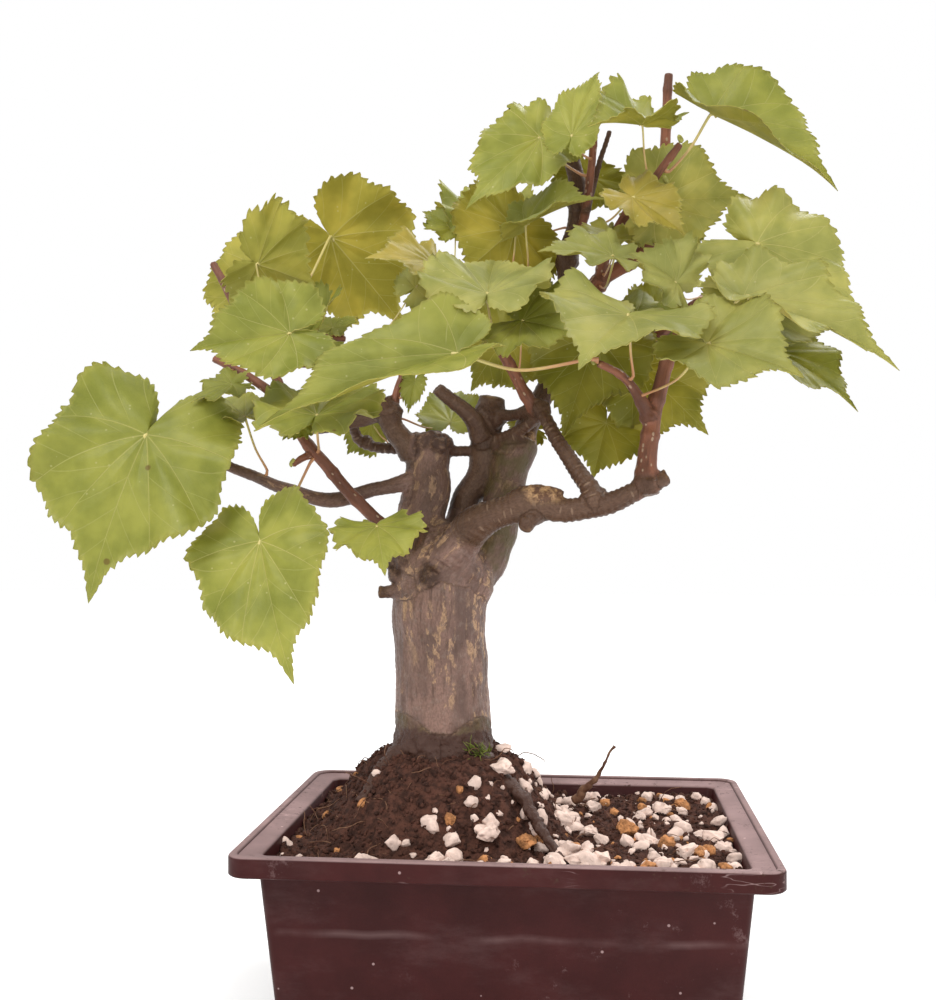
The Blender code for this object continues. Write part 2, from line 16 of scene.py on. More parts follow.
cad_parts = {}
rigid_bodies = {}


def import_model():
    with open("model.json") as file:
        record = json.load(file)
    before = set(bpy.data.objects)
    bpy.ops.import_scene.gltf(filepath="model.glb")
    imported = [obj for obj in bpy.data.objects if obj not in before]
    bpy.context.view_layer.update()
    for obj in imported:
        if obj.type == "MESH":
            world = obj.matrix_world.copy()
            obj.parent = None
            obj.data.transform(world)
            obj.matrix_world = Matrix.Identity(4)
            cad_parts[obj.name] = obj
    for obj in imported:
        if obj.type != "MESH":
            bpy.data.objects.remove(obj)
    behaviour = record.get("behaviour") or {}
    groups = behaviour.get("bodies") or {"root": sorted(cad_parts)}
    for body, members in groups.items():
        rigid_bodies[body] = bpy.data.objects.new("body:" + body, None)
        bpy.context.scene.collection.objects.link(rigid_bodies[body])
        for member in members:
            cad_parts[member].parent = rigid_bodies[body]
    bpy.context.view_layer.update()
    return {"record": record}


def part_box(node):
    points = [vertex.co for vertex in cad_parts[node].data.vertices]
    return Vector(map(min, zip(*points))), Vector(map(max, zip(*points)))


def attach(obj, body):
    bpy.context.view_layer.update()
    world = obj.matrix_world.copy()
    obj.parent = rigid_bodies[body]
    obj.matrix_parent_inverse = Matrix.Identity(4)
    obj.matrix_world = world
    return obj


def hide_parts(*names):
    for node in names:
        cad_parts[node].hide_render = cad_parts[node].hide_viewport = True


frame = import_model()

bl_info = {
    "name": "Bonsai lime tree",
    "version": (1, 0, 0),
    "blender": (4, 5, 0),
    "location": "3D View > Sidebar > Bonsai",
    "description": "Makes a potted lime bonsai round its packed model",
    "category": "Object",
}

MM = 0.001
POT_LOW, POT_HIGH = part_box("pot")
SOIL_LOW, SOIL_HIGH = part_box("soil")
FOOT = Vector((-0.035, 0.0, 0.121))

# Each limb runs through these points, as x, y, z and radius. The kind says how its bark looks.
LIMBS = {
    "trunk": ("old", ((0, 0, -13, 25), (0, 0, 0, 25.5), (0, 0, 14, 24), (-1, 0, 50, 23), (-2, 0, 76, 23.5),
                      (-1, 3, 96, 22.5), (3, 6, 112, 15))),
    "left leader": ("weathered", ((-6, 4, 92, 13), (-9, 4, 112, 12.5), (-9, 4, 132, 12), (-7, 6, 148, 10.5),
                            (-7, 6, 158, 9))),
    "middle leader": ("dark", ((2, 12, 96, 8.5), (8, 15, 118, 7.5), (17, 15, 140, 8), (24, 12, 178, 7))),
    "right leader": ("green", ((14, 8, 84, 11.5), (24, 8, 106, 10.5), (32, 8, 130, 9.5), (38, 9, 155, 10))),
    "front limb": ("ringed", ((4, -14, 96, 11), (16, -24, 112, 9.5), (32, -30, 119, 7.4), (48, -34, 122, 6.8),
                              (64, -36, 119, 5.6), (84, -38, 123, 5), (109, -38, 135, 3.8))),
    "front rise": ("ringed", ((76, -37, 122, 4), (72, -33, 132, 4), (57, -20, 154, 3.5), (47, -12, 173, 3))),
    "right upright": ("smooth", ((99, -38, 129, 4.5), (102, -37, 161, 4), (106, -36, 178, 3.5),
                                 (117, -34, 208, 2.6))),
    "right fork": ("smooth", ((101, -37, 163, 3), (90, -46, 179, 2), (77, -53, 186, 1.8))),
    "low limb": ("weathered", ((-14, 0, 135, 3.8), (-34, -4, 131, 3.5), (-60, -12, 125, 3.5), (-115, -26, 146, 2.2))),
    "long twig": ("smooth", ((-13, -8, 96, 3.2), (-54, -28, 141, 3), (-80, -26, 176, 2.5),
                             (-112, -20, 195, 1.8))),
    "slim twig": ("smooth", ((-70, -27, 162, 2.5), (-77, -20, 178, 2.2), (-98, -6, 209, 2.2),
                             (-121, 6, 248, 2))),
    "shaggy limb": ("shaggy", ((-28, -3, 169, 4), (-40, 0, 167, 3.8), (-60, -4, 162, 3.5), (-74, -18, 160, 2.8))),
    "ringed limb": ("ringed", ((-11, 10, 151, 2.8), (-42, 14, 154, 2.8), (-48, 6, 164, 2.5))),
    "side limb": ("dark", ((-16, 2, 146, 6), (-26, -2, 164, 5.5), (-31, -4, 175, 5))),
    "inner twig": ("dark", ((19, 8, 156, 4.3), (13, 1, 168, 4), (-2, -8, 180, 3.2))),
    "cross twig": ("dark", ((-4, 7, 150, 2.5), (15, 13, 150, 2.5))),
    "upper cross": ("dark", ((24, 10, 169, 2.8), (35, 2, 168, 2.8), (47, -11, 170, 2.8))),
    "lower cross": ("ringed", ((25, 10, 154, 3), (39, 0, 160, 3), (51, -12, 168, 2.6))),
    "centre twig": ("smooth", ((47, -11, 169, 2.8), (32, -18, 194, 2.8), (23, -24, 209, 2.6), (12, -28, 220, 2.4))),
    "green twig": ("smooth", ((-26, -3, 166, 2.2), (-21, 2, 188, 2), (-10, 6, 208, 1.8), (2, 8, 228, 1.8))),
    "left shoot": ("smooth", ((-87, -12, 193, 1.7), (-67, -6, 193, 1.6), (-42, -2, 192, 1.5), (-23, 0, 190, 1.4))),
    "left spur": ("smooth", ((-97, -6, 207, 1.7), (-72, -4, 208, 1.7), (-49, -4, 206, 1.5))),
    "bud spur": ("smooth", ((-97, -6, 207, 1.7), (-82, -6, 218, 1.9))),
    "upper limb": ("dark", ((36, 9, 146, 7), (45, 20, 170, 5.8), (56, 28, 197, 5.2), (62, 30, 226, 5),
                            (62, 24, 250, 4.8), (68, 18, 280, 4.5), (63, 16, 306, 4))),
    "crown limb": ("smooth", ((61, 29, 220, 4), (78, 26, 238, 3.8), (110, 18, 259, 3.8), (117, 22, 270, 3),
                              (113, 24, 302, 2.8), (114, 18, 343, 2.2))),
    "bud twig": ("smooth", ((79, 26, 238, 3), (85, 8, 257, 2.5), (97, -6, 272, 2.2), (117, -16, 296, 1.8))),
    "straight twig": ("smooth", ((62, 24, 250, 2.6), (69, 16, 262, 2.4), (74, 4, 291, 2), (77, 0, 317, 1.8))),
    "dead twig": ("dark", ((72, 11, 272, 1.8), (78, 10, 293, 1.5), (84, 10, 312, 1.4))),
    "right twig": ("smooth", ((59, 29, 210, 3.2), (81, 18, 205, 2.8), (104, 6, 205, 2.6), (127, -2, 222, 2.3),
                              (144, 2, 230, 2), (166, 8, 241, 1.8))),
    "crown shoot": ("smooth", ((62, 30, 231, 2.4), (51, 22, 231, 2), (29, 10, 234, 1.5))),
    "stub": ("dark", ((-20, -8, 80, 4), (-27, -9, 79, 3), (-31, -9, 79, 3.2))),
    "under stub": ("dark", ((48, -35, 118, 4), (44, -42, 112, 2.6))),
    "hanging spur": ("smooth", ((-58, -28, 147, 2), (-64, -31, 145, 1.6), (-69, -33, 141, 1.4))),
    "surface root": ("root", ((14, -10, 2, 8), (30, -20, -9.5, 4.8), (43, -31, -18.5, 3.2), (58, -50, -36, 2.2),
                              (66, -60, -44, 1.4))),
    "left root": ("root", ((-12, -10, 4, 9), (-26, -22, -8, 5), (-36, -34, -20, 3))),
}

# Swellings of the wood: middle, half sizes and kind of bark
LUMPS = (
    ((-17, -4, 97), (11, 11, 15), "burl"),
    ((-22, -6, 104), (6, 7, 6), "burl"),
    ((-21, -6, 88), (6, 7, 6), "burl"),
    ((-4, -18, 87), (6, 7, 7), "burl"),
    ((-7, 5, 154), (11, 11, 6), "burl"),
    ((-2, -2, 152), (5, 5, 5), "burl"),
    ((-13, 0, 150), (5, 5, 6), "burl"),
    ((8, -8, 92), (14, 13, 10), "old"),
    ((14, -2, 84), (11, 14, 16), "old"),
    ((48, -34, 126), (12, 7, 6), "knob"),
    ((41, -33, 123), (7, 8, 8), "ringed"),
    ((44, -40, 113), (4, 4, 4), "dark"),
    ((22, 12, 168), (9, 9, 9), "dark"),
    ((36, 9, 150), (11, 11, 5), "green"),
    ((99, -38, 131), (7, 7, 6), "ringed"),
    ((76, -37, 124), (7, 6, 6), "ringed"),
    ((101, -37, 163), (5, 5, 5), "smooth"),
    ((50, -12, 169), (5, 5, 5), "dark"),
    ((62, 24, 250), (6.5, 6.5, 7), "dark"),
    ((61, 29, 220), (7, 7, 8), "dark"),
    ((79, 26, 238), (5, 5, 5), "smooth"),
    ((68, 18, 277), (6, 6, 5), "dark"),
    ((-27, -2, 168), (7, 7, 6), "dark"),
    ((-70, -27, 161), (4, 4, 4), "smooth"),
    ((-97, -6, 208), (3.4, 3.4, 3.4), "smooth"),
    ((-42, 13, 155), (4, 4, 4), "ringed"),
)

# name, limb and share of its length where the stalk grows, blade base, blade tip, blade width, the way
# that the upper surface faces, fold and droop in degrees, and the tone of the blade
LEAVES = (
    ("far_left", "low limb", 1.0, (-135, -50, 155), (-157, -70, 80), 90, (0.1, -1, 0.25), 10, 20, "green"),
    ("low_hanging", "long twig", 0.48, (-80, -50, 105), (-60, -70, 42), 62, (-0.15, -1, 0.3), 8, 20, "green"),
    ("trunk_side", "long twig", 0.15, (-23, -60, 112), (-15, -88, 95), 40, (0, -0.6, 0.8), 10, 15, "green"),
    ("speckled", "left spur", 0.5, (-66, -50, 202), (-110, -62, 193), 50, (-0.1, -1, 0.3), 12, 12, "green"),
    ("left_back", "bud spur", 0.3, (-98, 18, 245), (-124, 8, 203), 48, (0, 1, 0.3), 8, 20, "green"),
    ("left_upper", "bud spur", 0.8, (-87, -30, 239), (-61, -18, 230), 60, (0.1, 0.8, 0.5), 12, 15, "green"),
    ("broad_back", "bud spur", 1.0, (-66, 40, 268), (-28, 55, 221), 78, (0.1, 1, 0.2), 10, 15, "dark"),
    ("yellowing", "green twig", 0.72, (-5, 2, 244), (-34, -22, 246), 42, (0, -0.7, 0.7), 15, 15, "yellowing"),
    ("pale_small", "left shoot", 0.63, (-16, 15, 235), (1, 25, 248), 24, (0.2, -0.8, 0.4), 10, 10, "pale"),
    ("left_under", "long twig", 0.91, (-98, -36, 180), (-116, -44, 172), 24, (0, -0.6, 0.8), 10, 10, "green"),
    ("left_flat", "low limb", 0.72, (-95, -24, 165), (-120, 18, 179), 34, (0, -0.3, 0.95), 10, 10, "green"),
    ("long_pale", "right fork", 1.0, (14, -62, 190), (-73, -78, 157), 50, (-0.1, -0.75, 0.65), 28, 12, "green"),
    ("left_shelf", "long twig", 0.49, (-52, -55, 163), (-46, -5, 185), 58, (0, -0.45, 0.9), 12, 10, "green"),
    ("left_tuft", "long twig", 0.6, (-62, -46, 161), (-69, -52, 153), 16, (0, -1, 0.3), 10, 10, "green"),
    ("ring_side", "ringed limb", 0.45, (-42, 30, 165), (-57, 34, 150), 26, (0, -1, 0.3), 10, 10, "green"),
    ("behind_leader", "side limb", 0.6, (1, 26, 166), (3, 60, 186), 34, (0, -0.6, 0.8), 10, 10, "green"),
    ("crook_small", "green twig", 0.16, (-14, -2, 184), (-17, -6, 168), 12, (0, -1, 0.2), 20, 10, "green"),
    ("spur_tip", "left spur", 0.96, (-56, -2, 212), (-47, 14, 222), 16, (0, -0.6, 0.7), 10, 10, "green"),
    ("spur_folded", "left spur", 0.7, (-57, -14, 220), (-67, -22, 199), 26, (-0.3, -0.9, 0.2), 45, 10, "green"),
    ("spur_back", "left spur", 0.73, (-67, 30, 208), (-86, 38, 224), 20, (0, -0.9, 0.4), 10, 10, "green"),
    ("shoot_small", "left shoot", 0.47, (-60, 3, 196), (-74, 6, 201), 12, (0, -0.9, 0.3), 10, 10, "green"),
    ("top_winged", "upper limb", 0.75, (17, 56, 278), (23, 92, 304), 60, (0, -0.5, 0.85), 35, 10, "green"),
    ("crown_shade", "crown shoot", 0.88, (35, 20, 266), (8, 10, 240), 62, (0.2, 0.9, 0.3), 10, 15, "dark"),
    ("crown_curl", "crown shoot", 0.65, (42, 2, 263), (79, -12, 276), 34, (-0.1, -0.6, 0.8), 38, 10, "green"),
    ("crown_dark", "upper limb", 0.86, (75, 36, 296), (70, 42, 277), 36, (0, -0.9, 0.2), 10, 10, "dark"),
    ("crown_right", "crown limb", 0.29, (107, 9, 275), (154, 5, 274), 52, (0, -1, 0.15), 8, 15, "pale"),
    ("crown_yellow", "straight twig", 0.27, (94, -22, 269), (119, -34, 247), 32, (0.2, -0.9, 0.5), 15, 15, "yellowing"),
    ("right_tip", "right twig", 0.85, (152, -24, 245), (201, -30, 212), 60, (0.1, -0.95, 0.35), 12, 20, "pale"),
    ("high_right", "bud twig", 0.84, (132, -18, 309), (189, -26, 269), 49, (0.35, -0.75, 0.6), 34, 15, "green"),
    ("apex_left", "straight twig", 0.71, (65, -20, 300), (78, -6, 338), 28, (-0.3, -0.9, -0.2), 15, 10, "green"),
    ("apex", "bud twig", 0.76, (98, -24, 303), (73, -40, 300), 48, (0, -0.6, 0.8), 32, 10, "green"),
    ("high_left", "straight twig", 0.6, (49, 0, 306), (13, -14, 270), 46, (-0.1, -1, 0.2), 12, 15, "green"),
    ("centre_flat", "centre twig", 0.71, (26, -44, 220), (27, -6, 246), 60, (0, -0.5, 0.85), 18, 10, "pale"),
    ("centre_low", "centre twig", 0.34, (42, -38, 208), (71, -52, 199), 50, (0, -0.8, 0.55), 12, 10, "green"),
    ("front", "right fork", 0.56, (90, -72, 204), (69, -112, 180), 70, (0.05, -0.6, 0.75), 14, 15, "pale"),
    ("mid_dark", "bud twig", 0.1, (86, -12, 252), (62, -18, 255), 28, (0, -0.5, 0.85), 10, 10, "dark"),
    ("mid_pale", "bud twig", 0.02, (84, -40, 237), (50, -50, 239), 36, (0, -0.6, 0.8), 12, 12, "pale"),
    ("mid_under", "right twig", 0.58, (95, -30, 212), (72, -8, 226), 40, (0, -0.5, 0.85), 12, 10, "green"),
    ("mid_back", "right twig", 0.5, (106, 42, 226), (119, 50, 240), 28, (0, -1, 0.2), 10, 10, "green"),
    ("right_folded", "right twig", 0.66, (112, -52, 222), (94, -60, 236), 40, (0.3, -0.85, 0.4), 30, 10, "pale"),
    ("right_back", "crown limb", 0.4, (115, 36, 260), (134, 44, 247), 36, (0.1, -0.9, 0.4), 12, 10, "green"),
    ("right_shelf", "right twig", 0.74, (143, -20, 214), (198, -8, 207), 44, (0, -0.9, 0.4), 12, 15, "pale"),
    ("right_long", "right twig", 0.42, (142, -52, 215), (205, -72, 181), 48, (0.2, -0.7, 0.7), 32, 15, "pale"),
    ("right_front", "right fork", 0.31, (123, -80, 190), (160, -100, 172), 50, (0.15, -0.85, 0.5), 12, 15, "pale"),
    ("right_drip", "right twig", 0.8, (164, -8, 196), (194, -42, 166), 36, (0.3, -0.9, 0.3), 20, 15, "green"),
    ("big_dark", "right twig", 0.11, (77, 0, 206), (60, -10, 154), 58, (0, -1, 0.1), 8, 12, "dark"),
    ("big_dark_right", "right twig", 0.29, (99, 30, 194), (134, 22, 160), 56, (0.1, -1, 0.1), 8, 12, "dark"),
    ("low_back", "upper limb", 0.31, (82, 26, 165), (75, 20, 136), 44, (0, -1, 0.1), 10, 12, "dark"),
    ("right_under", "right twig", 0.5, (123, 18, 202), (99, 24, 208), 24, (0, -0.6, 0.8), 10, 10, "green"),
    ("centre_back", "centre twig", 0.43, (31, 24, 211), (10, 30, 183), 50, (0, -1, 0.2), 10, 12, "dark"),
    ("young", "centre twig", 0.95, (14, -38, 214), (12, -44, 195), 12, (0, -1, 0.2), 40, 10, "green"),
    ("crook_back", "upper limb", 0.13, (45, 36, 163), (29, 40, 167), 22, (0, -0.9, 0.4), 10, 10, "dark"),
    ("left_crown", "green twig", 1.0, (-1, 60, 277), (-20, 68, 288), 24, (0, -0.8, 0.5), 10, 10, "green"),
)

# The blade's outline, from the tip round to the notch at the stalk: the angle off the midrib in degrees
# and the reach from the stalk as a share of the blade's length.
OUTLINE = ((0, 1.0), (1.7, 0.93), (3.4, 0.85), (6.5, 0.78), (12, 0.728), (20, 0.70), (32, 0.69), (46, 0.675),
           (60, 0.65), (74, 0.61), (92, 0.577), (110, 0.545), (126, 0.51), (142, 0.465), (155, 0.40),
           (166, 0.29), (174, 0.14), (178, 0.04))
WIDEST = 0.577
RINGS = (0.05, 0.12, 0.2, 0.3, 0.4, 0.5, 0.6, 0.7, 0.79, 0.87, 0.94, 1.0)
VEIN_ANGLES = (0.0, 0.50, 1.05, 1.70)
VEIN_SWEEP = 0.22
VEIN_ORDER = 5.5

TONES = {
    "green": ((0.320, 0.325, 0.056), (0.43, 0.38, 0.065), "leaf_green"),
    "pale": ((0.400, 0.385, 0.105), (0.48, 0.43, 0.12), "leaf_pale"),
    "dark": ((0.300, 0.280, 0.032), (0.44, 0.36, 0.042), "leaf_dark"),
    "yellowing": ((0.42, 0.33, 0.050), (0.44, 0.36, 0.09), "leaf_yellowing"),
}


# ---------------------------------------------------------------- sizes and colours

def length(name, description, default):
    return bpy.props.FloatProperty(name=name, description=description, default=default, subtype="DISTANCE",
                                   unit="LENGTH", precision=5)


def colour(name, description, default):
    return bpy.props.FloatVectorProperty(name=name, description=description, default=default, size=3,
                                         subtype="COLOR", min=0.0, max=1.0)


class LIME_PG_wood(bpy.types.PropertyGroup):
    voxel: length("Voxel", "Fineness of the grown-together wood", 0.00085)
    step: length("Step", "Spacing of the rings along each limb", 0.0016)
    collar: bpy.props.FloatProperty(name="Collar", description="Share by which a limb swells where it leaves its "
                                    "parent", default=0.45)
    old_bark: colour("Old bark", "Grey-brown of the trunk", (0.225, 0.130, 0.100))
    dark_bark: colour("Dark bark", "Brown of the older limbs", (0.075, 0.034, 0.017))
    young_bark: colour("Young bark", "Red-brown of the twigs", (0.185, 0.068, 0.036))


class LIME_PG_leaves(bpy.types.PropertyGroup):
    thickness: length("Thickness", "Thickness of a blade", 0.00035)
    tooth: length("Tooth", "Length of one tooth along the margin", 0.0048)
    tooth_depth: length("Tooth depth", "How far a tooth stands out", 0.0019)
    stalk_radius: length("Stalk radius", "Radius of a leaf's stalk", 0.00062)
    quilting: bpy.props.FloatProperty(name="Quilting", description="Bulge between the veins, as a share of the "
                                      "width", default=0.016)
    wave: bpy.props.FloatProperty(name="Wave", description="Height of the margin's waves, as a share of the "
                                  "width", default=0.075)
    vein: colour("Vein", "Pale yellow of the veins", (0.66, 0.62, 0.26))
    stalk: colour("Stalk", "Pale yellow of the stalks", (0.52, 0.44, 0.15))


class LIME_PG_pot(bpy.types.PropertyGroup):
    wall: length("Wall", "Thickness of the wall", 0.0025)
    floor: length("Floor", "Thickness of the floor", 0.003)
    overhang: length("Overhang", "How far the rim stands out from the wall", 0.011)
    skirt: length("Skirt", "Height of the rim's skirt", 0.009)
    lip: length("Lip", "Width of the raised outer lip", 0.0034)
    corner: length("Corner", "Corner radius of the rim", 0.009)
    hole: length("Drain hole", "Radius of a drain hole", 0.006)
    plastic: colour("Plastic", "Maroon brown of the plastic", (0.036, 0.0072, 0.0068))
    # Also laid on the upward faces of the pot as painted sheen, besides the real dust.
    dust: colour("Dust", "Dust and lime on the plastic", (0.48, 0.33, 0.32))


class LIME_PG_soil(bpy.types.PropertyGroup):
    grid: length("Grid", "Fineness of the soil's surface", 0.0014)
    mound: length("Mound", "Radius of the mound round the trunk", 0.066)
    lumps: length("Lumps", "Height of the soil's lumps", 0.0036)
    grain: length("Grain", "Least distance between two pumice grains", 0.0052)
    peat: colour("Peat", "Dark brown of the peat", (0.058, 0.023, 0.015))
    pumice: colour("Pumice", "Pinkish white of the pumice", (0.70, 0.53, 0.455))
    ochre: colour("Ochre grit", "Ochre of the baked clay grains", (0.43, 0.19, 0.075))


# ---------------------------------------------------------------- node trees

def put(tree, kind, inputs=None, **settings):
    """Adds a node with these settings. An input is a value or another node's socket."""
    made = tree.nodes.new(kind)
    for key, value in settings.items():
        setattr(made, key, value)
    for key, value in (inputs or {}).items():
        if isinstance(value, bpy.types.NodeSocket):
            tree.links.new(value, made.inputs[key])
        else:
            made.inputs[key].default_value = value
    return made


def calc(tree, operation, a, b=0.0, c=0.0, clamp=False):
    return put(tree, "ShaderNodeMath", {0: a, 1: b, 2: c}, operation=operation, use_clamp=clamp).outputs[0]


def mix(tree, share, a, b, mode="MIX"):
    """Mixes two colours."""
    a, b = ((*value, 1.0) if isinstance(value, (tuple, list)) and len(value) == 3 else value for value in (a, b))
    made = put(tree, "ShaderNodeMix", data_type="RGBA", blend_type=mode, clamp_factor=True)
    for key, value in ((0, share), (6, a), (7, b)):
        if isinstance(value, bpy.types.NodeSocket):
            tree.links.new(value, made.inputs[key])
        else:
            made.inputs[key].default_value = value
    return made.outputs[2]


def ramp(tree, value, low, high):
    """Runs smoothly from 0 at low to 1 at high."""
    made = put(tree, "ShaderNodeMapRange", {0: value, 1: low, 2: high, 3: 0.0, 4: 1.0})
    made.interpolation_type = "SMOOTHSTEP"
    return made.outputs[0]


def clouds(tree, where, scale, detail=3.0, rough=0.55):
    return put(tree, "ShaderNodeTexNoise", {"Vector": where, "Scale": scale, "Detail": detail,
                                            "Roughness": rough}).outputs[0]


def cells(tree, where, scale, feature="F1", random_share=1.0):
    return put(tree, "ShaderNodeTexVoronoi", {"Vector": where, "Scale": scale, "Randomness": random_share},
               feature=feature).outputs["Distance"]


def stretched(tree, where, scale):
    return put(tree, "ShaderNodeVectorMath", {0: where, 1: scale}, operation="MULTIPLY").outputs[0]


def attribute(tree, name, output="Fac"):
    return put(tree, "ShaderNodeAttribute", attribute_name=name).outputs[output]


def place(tree):
    return put(tree, "ShaderNodeTexCoord").outputs["Object"]


def shader_group(name, inputs, outputs):
    """A shader node group with these sockets: its tree, its inputs to read and its outputs to fill."""
    tree = bpy.data.node_groups.new(name, "ShaderNodeTree")
    for title, kind, value in inputs:
        socket = tree.interface.new_socket(title, in_out="INPUT", socket_type="NodeSocket" + kind)
        if value is not None:
            socket.default_value = value
    for title, kind in outputs:
        tree.interface.new_socket(title, in_out="OUTPUT", socket_type="NodeSocket" + kind)
    return tree, tree.nodes.new("NodeGroupInput").outputs, tree.nodes.new("NodeGroupOutput").inputs


def use_group(tree, shared, inputs):
    made = put(tree, "ShaderNodeGroup", node_tree=shared)
    for key, value in inputs.items():
        if isinstance(value, bpy.types.NodeSocket):
            tree.links.new(value, made.inputs[key])
        else:
            made.inputs[key].default_value = value
    return made.outputs


def new_material(name, roughness, specular=0.5):
    """A material with a Principled BSDF: the material's tree, the shader's inputs and the material."""
    material = bpy.data.materials.new(name)
    material.use_nodes = True
    tree = material.node_tree
    surface = tree.nodes["Principled BSDF"]
    surface.inputs["Roughness"].default_value = roughness
    surface.inputs["Specular IOR Level"].default_value = specular
    return tree, surface.inputs, material


def bump(tree, surface, height, strength, distance):
    made = put(tree, "ShaderNodeBump", {"Strength": strength, "Distance": distance, "Height": height})
    tree.links.new(made.outputs[0], surface["Normal"])


# ---------------------------------------------------------------- shared effects

def vein_group():
    """Main veins that fan out from the stalk, side veins between them and a fine net."""
    tree, given, made = shader_group("Leaf veins", [("Blade", "Vector", None)],
                                     [("Veins", "Float"), ("Relief", "Float"), ("Net", "Float")])
    blade = given["Blade"]
    apart = put(tree, "ShaderNodeSeparateXYZ", {0: blade}).outputs
    side = calc(tree, "ABSOLUTE", apart[0])
    reach = put(tree, "ShaderNodeVectorMath", {0: blade}, operation="LENGTH").outputs["Value"]
    angle = calc(tree, "ARCTAN2", side, apart[1])
    angle = calc(tree, "ADD", angle, calc(tree, "MULTIPLY", reach, calc(tree, "MULTIPLY", angle, VEIN_SWEEP)))
    width = calc(tree, "MULTIPLY_ADD", reach, -0.0060, 0.0075)
    width = calc(tree, "MAXIMUM", width, 0.0024)
    nearest, sector = side, None
    for number, vein in enumerate(VEIN_ANGLES[1:]):
        off = calc(tree, "MULTIPLY", calc(tree, "ABSOLUTE", calc(tree, "SUBTRACT", angle, vein)), reach)
        nearest = calc(tree, "MINIMUM", nearest, off)
        past = calc(tree, "MULTIPLY", calc(tree, "GREATER_THAN", angle, vein), vein - VEIN_ANGLES[number])
        sector = past if sector is None else calc(tree, "ADD", sector, past)
    main = calc(tree, "SUBTRACT", 1.0, calc(tree, "DIVIDE", nearest, width), clamp=True)
    turned = calc(tree, "SUBTRACT", angle, sector)
    out = calc(tree, "MULTIPLY", reach, calc(tree, "SINE", turned))
    along = calc(tree, "MULTIPLY", reach, calc(tree, "COSINE", turned))
    bent = calc(tree, "MULTIPLY", calc(tree, "MULTIPLY", out, out), 1.3)
    order = calc(tree, "ADD", calc(tree, "MULTIPLY_ADD", out, -1.15, along), bent)
    order = calc(tree, "MULTIPLY", order, VEIN_ORDER)
    off = calc(tree, "ABSOLUTE", calc(tree, "SUBTRACT", calc(tree, "FRACT", order), 0.5))
    minor = calc(tree, "SUBTRACT", 1.0, calc(tree, "MULTIPLY", off, 34.0), clamp=True)
    minor = calc(tree, "MULTIPLY", minor, ramp(tree, reach, 0.10, 0.2))
    net = cells(tree, blade, 42.0, "DISTANCE_TO_EDGE")
    net = calc(tree, "SUBTRACT", 1.0, calc(tree, "MULTIPLY", net, 9.0), clamp=True)
    veins = calc(tree, "MAXIMUM", main, calc(tree, "MULTIPLY", minor, 0.5))
    relief = calc(tree, "ADD", veins, calc(tree, "MULTIPLY", net, 0.18))
    for key, value in (("Veins", veins), ("Relief", relief), ("Net", net)):
        tree.links.new(value, made[key])
    return tree


def specks_group():
    """Small round specks that stand apart, such as lenticels, grit dust and leaf spots."""
    tree, given, made = shader_group(
        "Specks", [("Where", "Vector", None), ("Scale", "Float", 100.0), ("Size", "Float", 0.2),
                   ("Share", "Float", 0.5)], [("Specks", "Float")])
    texture = put(tree, "ShaderNodeTexVoronoi", {"Vector": given["Where"], "Scale": given["Scale"]})
    chosen = put(tree, "ShaderNodeSeparateXYZ", {0: texture.outputs["Color"]}).outputs[0]
    chosen = calc(tree, "LESS_THAN", chosen, given["Share"])
    size = calc(tree, "DIVIDE", texture.outputs["Distance"], given["Size"])
    spot = calc(tree, "SUBTRACT", 1.0, size, clamp=True)
    tree.links.new(calc(tree, "MULTIPLY", ramp(tree, spot, 0.0, 0.35), chosen), made["Specks"])
    return tree


